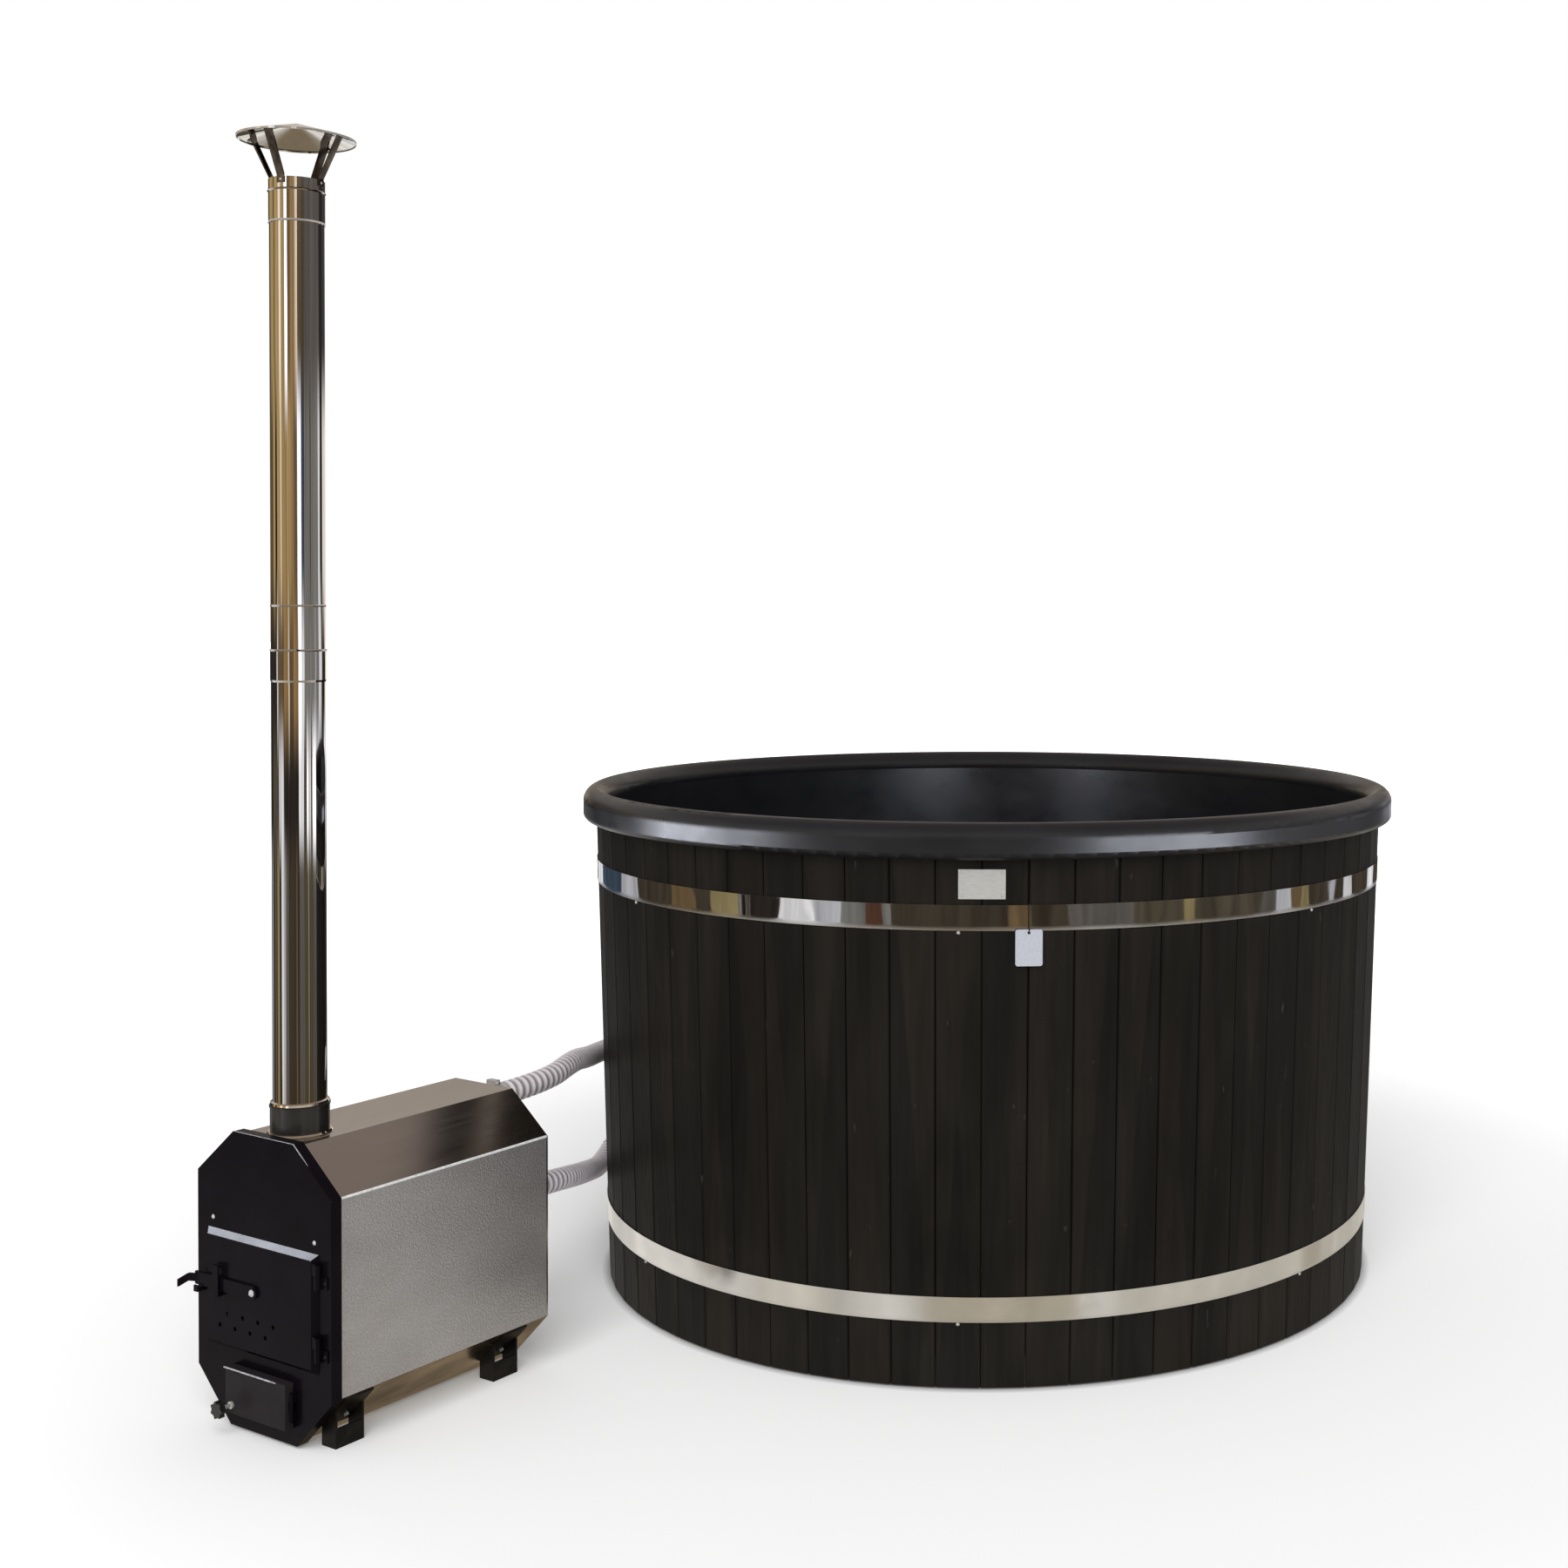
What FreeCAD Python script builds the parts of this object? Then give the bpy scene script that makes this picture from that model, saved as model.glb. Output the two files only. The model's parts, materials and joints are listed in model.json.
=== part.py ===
"""Wood-burning hot tub: a round clad tub, an octagonal outside stove with its flue, and two hoses.

Millimetres. The origin is on the tub's axis at floor level. +Z is up, and +Y runs from the
stove's front plate to its rear plate.
"""
import FreeCAD, Part
import math
import os
from FreeCAD import Vector

# Fits used all over the model
seat_gap = 0.2
hole_clearance = 0.3
pin_clearance = 0.05

# Tub boards
tub_wall_radius = 917.0
wall_slope = 0.0292
stave_count = 63
stave_thickness = 18.0
stave_gap = 1.8
stave_chamfer = 2.5
stave_foot = 4.0
first_joint_angle = 302.5

# Moulded floor, wall and rim of the tub
liner_wall = 10.0
liner_floor = 12.0
floor_weld_leg = 12.0
floor_pad_half = 110.0
weld_gap = 0.05
rim_top = 1157.0
rim_overhang = 63.0
rim_crest_inset = 30.0
rim_skirt_wall = 21.0
rim_skirt_height = 74.0
rim_roof = 20.0
rim_edge_round = 14.0
rim_shoulder = 32.0
rim_inner_drop = 46.0

# Timber under the tub
bearer_height = 60.0
bearer_width = 70.0
bearer_spacing = 320.0
bearer_count = 5
bearer_margin = 45.0

# Steel hoops
hoop_width = 52.0
hoop_thickness = 1.5
lower_hoop_height = 138.5
upper_hoop_drop = 218.5
hoop_seam_angle = 122.0
hoop_seam_gap = 44.0
hoop_lug_reach = 26.0
hoop_lug_thickness = 8.0
hoop_bolt_radius = 5.0
hoop_bolt_head = 8.5
hoop_bolt_head_height = 7.0
rest_screw_radius = 4.0
rest_screw_height = 3.0
rest_screw_every = 9

# Blank plate and blank hang tag
plate_width = 95.0
plate_height = 60.0
plate_thickness = 1.2
plate_rise = 12.0
plate_screw_inset = 7.0
plate_screw_radius = 3.0
plate_screw_height = 1.8
tag_width = 55.0
tag_height = 74.0
tag_thickness = 0.8
tag_corner = 5.0
tag_eye_radius = 3.0
tag_eye_drop = 7.0
tie_radius = 1.2
tag_joint_step = 1

# Hoses and the spigots that they slide over
hose_outer_radius = 25.5
hose_root_radius = 22.8
hose_cuff_radius = 23.8
hose_bore_radius = 20.0
hose_cuff_length = 48.0
hose_rib_pitch = 20.0
spigot_wall = 3.0
spigot_length = 55.0
spigot_shoulder_radius = 25.0
spigot_shoulder_width = 8.0
clamp_width = 13.0
clamp_thickness = 1.2
clamp_inset = 12.0
clamp_box_length = 26.0
clamp_box_width = 14.0
clamp_box_height = 12.0
clamp_screw_radius = 3.6

# Tub ports
port_stave_index = 19
upper_port_height = 452.0
lower_port_height = 222.0
elbow_bend_radius = 30.0
port_nut_radius = 28.0
port_nut_thickness = 12.0
wall_flange_radius = 45.0
wall_flange_thickness = 12.0
wall_flange_slots = 5
wall_flange_slot_width = 5.0

# Floor drain
drain_x = 160.0
drain_y = -40.0
drain_bore_radius = 21.0
drain_tube_wall = 4.0
drain_flange_radius = 48.0
drain_flange_thickness = 6.0
drain_tube_drop = 40.0
plug_head_radius = 28.0
plug_head_thickness = 9.0
plug_depth = 22.0
plug_recess_radius = 22.0
plug_recess_depth = 6.0
plug_grip_width = 7.0

# Stove shell, an octagon in the XZ plane
stove_x = -523.0
stove_front_y = -1707.0
stove_length = 549.0
stove_half_width = 196.0
stove_top_half = 88.0
stove_bottom_half = 97.5
stove_bottom = 6.0
stove_lower_fold = 105.0
stove_upper_fold = 486.0
stove_top = 575.0
front_plate_thickness = 4.0
front_flange_depth = 24.0
front_flange_wall = 3.0
rear_plate_thickness = 4.0
casing_inset = 6.0
casing_sheet = 1.5
casing_hem = 12.0
jacket_inset = 12.0
jacket_wall = 4.0

# Fire chamber, ash chamber and what stands in them
firebox_half_width = 150.0
firebox_bottom = 150.0
firebox_top = 480.0
firebox_length = 466.0
firebox_wall = 5.0
ash_half_width = 105.0
ash_bottom = 41.0
ash_length = 416.0
grate_half_width = 115.0
grate_length = 424.0
grate_front = 12.0
grate_thickness = 14.0
grate_bar = 12.0
grate_slot = 10.0
grate_slot_count = 7
baffle_height = 415.0
baffle_thickness = 6.0
baffle_front_gap = 140.0

# Flue
flue_setback = 85.0
flue_radius = 50.0
flue_wall = 1.0
flue_fit = 0.25
collar_wall = 4.5
collar_height = 50.0
collar_lip = 3.0
collar_ring_wire = 3.2
lower_flue_height = 1501.0
flue_socket = 59.0
flue_bead = 2.0
upper_flue_seam_rise = 83.0
cap_sleeve_length = 83.0
cap_sleeve_lap = 68.0
cap_opening = 79.0
cap_radius = 108.6
cap_rim_height = 2474.0
cap_rise = 30.0
cap_sheet = 1.2
strap_width = 16.0
strap_thickness = 1.5
strap_count = 4
strap_first_angle = 19.0
strap_overlap = 34.0
strap_reach = 92.0
rivet_radius = 2.6
rivet_height = 1.4

# Feet
foot_setback = 40.0
foot_length = 65.0
foot_rear_margin = 55.0
foot_inner = 118.0
foot_outer = 158.0
foot_sheet = 4.0
foot_side_height = 38.0
foot_flange_reach = 28.0
foot_bolt_radius = 5.0
foot_bolt_height = 4.0

# Fire door
door_half_width = 162.0
door_bottom = 155.0
door_top = 380.0
door_proud = 10.0
door_bevel = 10.0
door_sheet = 3.0
door_gap = 0.6
fire_mouth_half_width = 134.0
fire_mouth_bottom = 183.0
fire_mouth_top = 352.0
gasket_width = 8.0
gasket_overhang = 2.0
shield_gap = 5.0
shield_thickness = 4.0
shield_depth = 10.0
shield_post_radius = 6.0
shield_post_inset = 30.0
air_hole_radius = 4.5
air_hole_pitch = 45.0
air_hole_count = 4
air_rows = ((-92.0, 224.0), (-115.0, 199.0))

# Fire door hinges
hinge_u = 168.0
hinge_v = -8.0
hinge_barrel_radius = 6.0
hinge_pin_radius = 3.0
hinge_pin_cap = 1.5
hinge_length = 46.0
hinge_heights = (182.0, 319.0)
hinge_leaf_thickness = 3.0
hinge_leaf_width = 20.0
hinge_split_gap = 0.4
leaf_screw_radius = 4.0
leaf_screw_height = 2.5

# Latch
latch_pivot_u = -13.0
latch_height = 280.0
latch_bar_height = 25.0
latch_bar_thickness = 5.0
latch_bar_gap = 0.4
latch_bolt_radius = 4.0
latch_bolt_head = 7.0
latch_bolt_head_height = 4.0
latch_straight_end = -184.0
latch_tip = ((-197.0, -7.0, 0.0), (-208.0, -22.0, -10.0))
latch_tip_height = 15.0
guide_u = -114.0
guide_width = 18.0
guide_sheet = 3.0
guide_bottom_room = 7.0
guide_top_room = 21.0
guide_front_room = 3.5
catch_u = -174.0
catch_width = 12.0
catch_sheet = 4.0
catch_drop = 8.0
catch_room = 2.0

# Ash door
ash_door_half_width = 88.0
ash_door_bottom = 39.0
ash_door_top = 126.0
ash_door_proud = 18.0
ash_door_sheet = 2.5
ash_mouth_half_width = 82.0
ash_mouth_bottom = 47.0
ash_mouth_top = 112.0
ash_lip_depth = 3.0
ash_lip_height = 3.0
ash_lip_end = 60.0
ash_hinge_offset = 7.0
ash_hinge_radius = 4.0
ash_hinge_pin_radius = 2.0
ash_hinge_bottom = 56.0
ash_hinge_length = 54.0
knob_u = -69.0
knob_z = 56.0
knob_radius = 17.0
knob_thickness = 11.0
knob_lobes = 7
knob_lobe_radius = 3.4
knob_reach = 24.0
knob_shaft_radius = 4.0
knob_collar_radius = 7.0
knob_collar_thickness = 4.0
tongue_length = 22.0
tongue_width = 8.0
tongue_thickness = 4.0
tongue_gap = 0.5

# Screws on the front plate
front_screw_u = 149.0
front_screw_z = 400.0
front_screw_radius = 4.5
front_screw_height = 2.5

# Stove ports
upper_spigot_z = 535.0
lower_spigot_z = 312.0

# Hose routes, between the first and last runs that the spigots set. Each point of the middle has
# its angle round the tub, its distance from the boards and its height
hose_first_run = 168.0
hose_last_run = 115.0
upper_hose_middles = ((232.69, 77.4, 540.0), (221.05, 44.0, 498.0), (209.56, 47.0, 467.0))
lower_hose_middles = ((233.06, 83.5, 274.0), (221.83, 49.0, 227.0), (208.8, 54.0, 177.0))

# Sizes that follow from the ones above
half_step = math.pi / stave_count
step_degrees = 360.0 / stave_count
slope_angle = math.atan(wall_slope)
spigot_radius = hose_bore_radius - seat_gap
spigot_bore = spigot_radius - spigot_wall
stove_rear_y = stove_front_y + stove_length
liner_bottom = bearer_height
liner_floor_top = liner_bottom + liner_floor
rim_radius = tub_wall_radius + rim_overhang
rim_roof_under = rim_top - rim_roof
rim_skirt_bottom = rim_top - rim_skirt_height
upper_hoop_height = rim_top - upper_hoop_drop
flue_y = stove_front_y + flue_setback
upper_flue_seam = lower_flue_height + upper_flue_seam_rise
cap_sleeve_top = cap_rim_height - cap_opening
cap_sleeve_bottom = cap_sleeve_top - cap_sleeve_length
upper_flue_height = cap_sleeve_bottom + cap_sleeve_lap
door_face = -door_gap - door_proud
latch_back = door_face - latch_bar_gap
latch_front = latch_back - latch_bar_thickness
ash_door_face = -door_gap - ash_door_proud
casing_back = stove_length - rear_plate_thickness
collar_inner = flue_radius + flue_fit
collar_outer = collar_inner + collar_wall

os.makedirs("parts", exist_ok=True)


def export(name, shape):
    """Write one sub-part and report its solids and volume."""
    shape.exportStep("parts/" + name + ".step")
    valid = "ok" if shape.isValid() else "NOT VALID"
    print(f"{name}: {len(shape.Solids)} solids, {shape.Volume / 1000.0:.1f} cm3, {valid}")


def box(low, high):
    size = Vector(*high) - Vector(*low)
    return Part.makeBox(size.x, size.y, size.z, Vector(*low))


def rod(start, axis, radius, length):
    return Part.makeCylinder(radius, length, Vector(start), Vector(axis))


def pipe(start, axis, outer, inner, length):
    return rod(start, axis, outer, length).cut(rod(start, axis, inner, length))


def revolved(points, centre=(0.0, 0.0), sweep=360.0):
    """Solid of revolution of an (r, z) outline about a vertical axis."""
    wire = Part.makePolygon([Vector(r, 0, z) for r, z in points + points[:1]])
    solid = Part.Face(wire).revolve(Vector(0, 0, 0), Vector(0, 0, 1), sweep)
    solid.translate(Vector(centre[0], centre[1], 0))
    return solid


def dome(base, axis, radius, height):
    """Round screw head: a low cap of a sphere standing on its base point."""
    sphere_radius = (radius ** 2 + height ** 2) / (2.0 * height)
    axis = Vector(axis).normalize()
    centre = Vector(base) + axis * (height - sphere_radius)
    sphere = Part.makeSphere(sphere_radius, centre)
    return sphere.common(rod(base, axis, radius * 1.05, height * 1.05))


def hexagon(base, axis, radius, height):
    """Hexagonal nut or bolt head."""
    axis = Vector(axis).normalize()
    across = axis.cross(Vector(0, 0, 1))
    if across.Length < 0.1:
        across = Vector(1, 0, 0)
    across.normalize()
    up = axis.cross(across)
    corners = []
    for k in range(7):
        angle = k * math.pi / 3.0
        corners.append(
            Vector(base) + across * (radius * math.cos(angle)) + up * (radius * math.sin(angle))
        )
    return Part.Face(Part.makePolygon(corners)).extrude(axis * height)


def fuse(shapes):
    return shapes[0].multiFuse(shapes[1:]).removeSplitter()


def polar(radius, degrees, z=0.0):
    angle = math.radians(degrees)
    return Vector(radius * math.cos(angle), radius * math.sin(angle), z)


# Tub wall geometry

def board_radius(z):
    """Distance from the axis to the boards' flat outer faces."""
    return tub_wall_radius + wall_slope * z


def board_half(z, inset=0.0):
    """Half the width of a board, at a depth of inset behind its outer face."""
    return (board_radius(z) - inset) * math.tan(half_step) - stave_gap / 2.0


def corner_radius(z):
    """Circle through the outer corners of the boards, which the hoops rest on."""
    return math.hypot(board_radius(z), board_half(z) - stave_chamfer)


def liner_outer(z):
    return board_radius(z) - stave_thickness - seat_gap


def liner_inner(z):
    return liner_outer(z) - liner_wall


def board_angle(index):
    return first_joint_angle - (index + 0.5) * step_degrees


def board_normal(degrees):
    """Outward normal of a board, which leans out with height and so faces slightly down."""
    out = polar(1.0, degrees)
    return (out * math.cos(slope_angle) - Vector(0, 0, math.sin(slope_angle))).normalize()


def stave_outline(z, degrees):
    radius = board_radius(z)
    half = board_half(z)
    back = board_half(z, stave_thickness)
    inner = radius - stave_thickness
    outline = [
        (inner, -back), (radius - stave_chamfer, -half), (radius, -half + stave_chamfer),
        (radius, half - stave_chamfer), (radius - stave_chamfer, half), (inner, back),
    ]
    out = polar(1.0, degrees)
    along = polar(1.0, degrees + 90.0)
    points = [out * r + along * t + Vector(0, 0, z) for r, t in outline]
    return Part.makePolygon(points + points[:1])


def port_cutter(z, radius):
    """Long cylinder through the wall at a hose port."""
    degrees = board_angle(port_stave_index)
    normal = board_normal(degrees)
    reach = 2.0 * (stave_thickness + liner_wall + port_nut_thickness)
    start = polar(board_radius(z), degrees, z) - normal * reach
    return rod(start, normal, radius, 2.0 * reach)


def make_staves():
    top = rim_roof_under - seat_gap
    staves = []
    for index in range(stave_count):
        degrees = board_angle(index)
        wires = [stave_outline(stave_foot, degrees), stave_outline(top, degrees)]
        stave = Part.makeLoft(wires, True, True)
        if index == port_stave_index:
            for z in (upper_port_height, lower_port_height):
                stave = stave.cut(port_cutter(z, spigot_radius + hole_clearance))
        staves.append(stave)
    return Part.makeCompound(staves)


def arc_edge(start, middle, end):
    return Part.Arc(
        Vector(start[0], 0, start[1]), Vector(middle[0], 0, middle[1]), Vector(end[0], 0, end[1]),
    ).toShape()


def line_edge(start, end):
    return Part.LineSegment(Vector(start[0], 0, start[1]), Vector(end[0], 0, end[1])).toShape()


def quarter_middle(start, corner, end):
    """Middle point of the rounded stretch that replaces a corner."""
    share = 1.0 - math.sqrt(0.5)
    return tuple(c + ((s + e) / 2.0 - c) * 2.0 * share for s, c, e in zip(start, corner, end))


def make_tub_floor():
    """Floor sheets welded round a square pad that carries the drain."""
    reach = liner_outer(liner_bottom)
    disc = rod((0, 0, liner_bottom), (0, 0, 1), reach, liner_floor)
    low_x = drain_x - floor_pad_half
    high_x = drain_x + floor_pad_half
    low_y = drain_y - floor_pad_half
    high_y = drain_y + floor_pad_half
    spans = (
        (-reach, low_x - weld_gap, -reach, reach), (high_x + weld_gap, reach, -reach, reach),
        (low_x, high_x, -reach, low_y - weld_gap), (low_x, high_x, high_y + weld_gap, reach),
    )
    sheets = []
    for x_from, x_to, y_from, y_to in spans:
        sheets.append(disc.common(box((x_from, y_from, liner_bottom), (x_to, y_to, liner_floor_top))))
    pad = box((low_x, low_y, liner_bottom), (high_x, high_y, liner_floor_top))
    drain_hole = drain_bore_radius + drain_tube_wall + hole_clearance
    below = (drain_x, drain_y, liner_bottom - liner_floor)
    sheets.append(pad.cut(rod(below, (0, 0, 1), drain_hole, 3.0 * liner_floor)))
    return Part.makeCompound(sheets)


def make_tub_wall():
    """Leaning wall on the floor's edge, with a sloping weld along the inside of its foot."""
    low = liner_floor_top + weld_gap
    leg = low + floor_weld_leg
    top = rim_top - rim_inner_drop
    wall = revolved([
        (liner_inner(low) - floor_weld_leg, low), (liner_outer(low), low), (liner_outer(top), top),
        (liner_inner(top), top), (liner_inner(leg), leg),
    ])
    for z in (upper_port_height, lower_port_height):
        wall = wall.cut(port_cutter(z, spigot_radius + hole_clearance))
    return wall


def make_tub_rim():
    """Thick turned-over rim, which stands on the wall and covers the boards' upper ends."""
    low = rim_top - rim_inner_drop + weld_gap
    crest = (rim_radius - rim_crest_inset, rim_top)
    shoulder = (rim_radius, rim_top - rim_shoulder)
    edge_start = (rim_radius, rim_skirt_bottom + rim_edge_round)
    edge_end = (rim_radius - rim_edge_round, rim_skirt_bottom)
    skirt_inner = rim_radius - rim_skirt_wall
    inner_low = (liner_inner(low), low)
    outer_low = (liner_outer(low), low)
    roof_wall = (liner_outer(rim_roof_under), rim_roof_under)
    roof_skirt = (skirt_inner, rim_roof_under)
    skirt_foot = (skirt_inner, rim_skirt_bottom)
    section = Part.Wire([
        line_edge(inner_low, outer_low),
        line_edge(outer_low, roof_wall),
        line_edge(roof_wall, roof_skirt),
        line_edge(roof_skirt, skirt_foot),
        line_edge(skirt_foot, edge_end),
        arc_edge(
            edge_end, quarter_middle(edge_end, (rim_radius, rim_skirt_bottom), edge_start), edge_start,
        ),
        line_edge(edge_start, shoulder),
        arc_edge(shoulder, quarter_middle(shoulder, (rim_radius, rim_top), crest), crest),
        arc_edge(crest, quarter_middle(crest, (inner_low[0], rim_top), inner_low), inner_low),
    ])
    return Part.Face(section).revolve(Vector(0, 0, 0), Vector(0, 0, 1), 360.0)


def make_bearers():
    reach = liner_outer(liner_bottom) - bearer_margin
    beams = []
    for k in range(bearer_count):
        x = (k - (bearer_count - 1) / 2.0) * bearer_spacing
        far_side = abs(x) + bearer_width / 2.0
        half_length = math.sqrt(reach ** 2 - far_side ** 2)
        low = (x - bearer_width / 2.0, -half_length, 0.0)
        beams.append(box(low, (x + bearer_width / 2.0, half_length, bearer_height)))
    return Part.makeCompound(beams)


def hoop_radius(z):
    return corner_radius(z) + seat_gap


def seam_frame():
    return polar(1.0, hoop_seam_angle), polar(1.0, hoop_seam_angle + 90.0)


def seam_block(height, along_from, along_to, radial_from, radial_to):
    """Block beside the hoop's seam, over the middle half of the hoop's width."""
    out, along = seam_frame()
    low = height + hoop_width / 4.0
    corner = out * radial_from + along * along_from + Vector(0, 0, low)
    wire = Part.makePolygon([
        corner,
        corner + along * (along_to - along_from),
        corner + along * (along_to - along_from) + out * (radial_to - radial_from),
        corner + out * (radial_to - radial_from),
        corner,
    ])
    return Part.Face(wire).extrude(Vector(0, 0, hoop_width / 2.0))


def hoop_bolt_axis(height):
    """Point on the tension bolt's axis in the middle of the seam, and the axis direction."""
    out, along = seam_frame()
    radial = hoop_radius(height + hoop_width) + hoop_lug_reach * 0.6
    return out * radial + Vector(0, 0, height + hoop_width / 2.0), along


def make_hoop(height):
    """Flat steel band with a seam, and a welded lug for the tension bolt on each side of it."""
    top = height + hoop_width
    outline = [
        (hoop_radius(height), height), (hoop_radius(height) + hoop_thickness, height),
        (hoop_radius(top) + hoop_thickness, top), (hoop_radius(top), top),
    ]
    gap_degrees = math.degrees(hoop_seam_gap / hoop_radius(height))
    band = revolved(outline, sweep=360.0 - gap_degrees)
    band.rotate(Vector(0, 0, 0), Vector(0, 0, 1), hoop_seam_angle + gap_degrees / 2.0)
    radial_from = hoop_radius(top) + hoop_thickness / 2.0
    radial_to = radial_from + hoop_lug_reach
    lugs = []
    for side in (-1.0, 1.0):
        inner = side * hoop_seam_gap / 2.0
        outer = side * (hoop_seam_gap / 2.0 + hoop_lug_thickness)
        lugs.append(seam_block(height, min(inner, outer), max(inner, outer), radial_from, radial_to))
    middle, along = hoop_bolt_axis(height)
    reach = hoop_seam_gap / 2.0 + 2.0 * hoop_lug_thickness
    hole = rod(middle - along * reach, along, hoop_bolt_radius + hole_clearance, 2.0 * reach)
    return fuse([band] + lugs).cut(hole)


def make_hoop_bolts():
    bolts = []
    for height in (lower_hoop_height, upper_hoop_height):
        middle, along = hoop_bolt_axis(height)
        lug_face = hoop_seam_gap / 2.0 + hoop_lug_thickness
        tail = 2.0 * hoop_bolt_head_height
        shank = rod(middle - along * lug_face, along, hoop_bolt_radius, 2.0 * lug_face + tail)
        head = hexagon(middle - along * lug_face, along * -1.0, hoop_bolt_head, hoop_bolt_head_height)
        nut = hexagon(middle + along * lug_face, along, hoop_bolt_head, hoop_bolt_head_height)
        bolts.append(fuse([shank, head, nut]))
    return Part.makeCompound(bolts)


def make_rest_screws():
    """Round-headed screws in some boards, which each hoop stands on."""
    heads = []
    for height in (lower_hoop_height, upper_hoop_height):
        z = height - rest_screw_radius - seat_gap
        for index in range(0, stave_count, rest_screw_every):
            degrees = board_angle(index)
            heads.append(
                dome(
                    polar(board_radius(z), degrees, z), board_normal(degrees), rest_screw_radius,
                    rest_screw_height,
                )
            )
    return Part.makeCompound(heads)


def wall_patch(bottom, height, width, degrees, lift, thickness):
    """Thin plate that follows the wall's curve, standing off the boards' corners by lift."""
    top = bottom + height
    low_radius = corner_radius(bottom) + lift
    high_radius = corner_radius(top) + lift
    outline = [
        (low_radius, bottom), (low_radius + thickness, bottom),
        (high_radius + thickness, top), (high_radius, top),
    ]
    sweep = math.degrees(width / low_radius)
    patch = revolved(outline, sweep=sweep)
    patch.rotate(Vector(0, 0, 0), Vector(0, 0, 1), degrees - sweep / 2.0)
    return patch


def plate_screw_spots():
    """Angle and height of each of the blank plate's screws."""
    bottom = upper_hoop_height + hoop_width + plate_rise
    reach = plate_width / 2.0 - plate_screw_inset
    spots = []
    for z in (bottom + plate_screw_inset, bottom + plate_height - plate_screw_inset):
        for side in (-1.0, 1.0):
            spots.append((first_joint_angle + side * math.degrees(reach / corner_radius(z)), z))
    return spots


def make_nameplate():
    bottom = upper_hoop_height + hoop_width + plate_rise
    return wall_patch(bottom, plate_height, plate_width, first_joint_angle, seat_gap, plate_thickness)


def make_plate_screws():
    heads = []
    for degrees, z in plate_screw_spots():
        base = polar(corner_radius(z) + seat_gap + plate_thickness + seat_gap / 2.0, degrees, z)
        heads.append(dome(base, board_normal(degrees), plate_screw_radius, plate_screw_height))
    return Part.makeCompound(heads)


def tag_frame():
    """Angle of the hang tag, its top height, and the distance of its back from the axis."""
    degrees = first_joint_angle + tag_joint_step * step_degrees
    top = upper_hoop_height + tag_eye_drop / 2.0
    back = hoop_radius(upper_hoop_height + hoop_width) + hoop_thickness + 2.0 * tie_radius + seat_gap
    return degrees, top, back


def make_tag():
    """Blank card with rounded corners and an eye for its tie."""
    degrees, top, back = tag_frame()
    card = box((back, -tag_width / 2.0, top - tag_height), (back + tag_thickness, tag_width / 2.0, top))
    upright = [e for e in card.Edges if abs(e.Vertexes[0].X - e.Vertexes[-1].X) > tag_thickness / 2.0]
    card = card.makeFillet(tag_corner, upright)
    eye = rod((back - 1.0, 0, top - tag_eye_drop), (1, 0, 0), tag_eye_radius, tag_thickness + 2.0)
    card = card.cut(eye)
    card.rotate(Vector(0, 0, 0), Vector(0, 0, 1), degrees)
    return card


def make_tag_tie():
    """Cord loop through the tag's eye and over the upper edge of the hoop."""
    degrees, top, back = tag_frame()
    hoop_top = upper_hoop_height + hoop_width
    front = back + tag_thickness + tie_radius + seat_gap
    behind = hoop_radius(hoop_top) + hoop_thickness + tie_radius + seat_gap
    eye = top - tag_eye_drop
    over = hoop_top + tie_radius + seat_gap
    strands = [
        rod((front, 0, eye), (0, 0, 1), tie_radius, over - eye),
        rod((behind - hoop_thickness, 0, over), (1, 0, 0), tie_radius, front - behind + hoop_thickness),
        rod((behind, 0, eye), (1, 0, 0), tie_radius, front - behind),
        Part.makeSphere(tie_radius, Vector(front, 0, eye)),
        Part.makeSphere(tie_radius, Vector(front, 0, over)),
    ]
    tie = fuse(strands)
    tie.rotate(Vector(0, 0, 0), Vector(0, 0, 1), degrees)
    return tie


# Hose ports on the tub

def port_frame(z):
    """Board face at the port, outward normal, and the direction of the elbow's hose end."""
    degrees = board_angle(port_stave_index)
    return polar(board_radius(z), degrees, z), board_normal(degrees), polar(1.0, degrees + 90.0)


def elbow_corner(z):
    face, normal, along = port_frame(z)
    return face + normal * (port_nut_thickness + elbow_bend_radius)


def elbow_hose_end(z):
    """Centre of the shoulder face that the hose butts against."""
    along = port_frame(z)[2]
    return elbow_corner(z) + along * (elbow_bend_radius + spigot_shoulder_width)


def make_elbow(z):
    """Wall elbow: a pipe through liner and board, a right-angle bend and a shouldered spigot."""
    face, normal, along = port_frame(z)
    corner = elbow_corner(z)
    inner_end = face - normal * (
        stave_thickness + liner_wall + wall_flange_thickness - spigot_wall - seat_gap
    )
    bend_start = corner - normal * elbow_bend_radius
    bend_end = corner + along * elbow_bend_radius
    middle = corner + (along - normal) * (elbow_bend_radius * (1.0 - math.sqrt(0.5)))
    tip = bend_end + along * (spigot_shoulder_width + spigot_length)
    path = Part.Wire([
        Part.LineSegment(inner_end, bend_start).toShape(),
        Part.Arc(bend_start, middle, bend_end).toShape(),
        Part.LineSegment(bend_end, tip).toShape(),
    ])
    tubes = []
    for radius in (spigot_radius, spigot_bore):
        ring = Part.Wire([Part.Circle(inner_end, normal, radius).toShape()])
        tubes.append(path.makePipeShell([ring], True, False))
    shoulder = rod(bend_end, along, spigot_shoulder_radius, spigot_shoulder_width)
    return fuse([tubes[0], shoulder]).cut(tubes[1])


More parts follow.
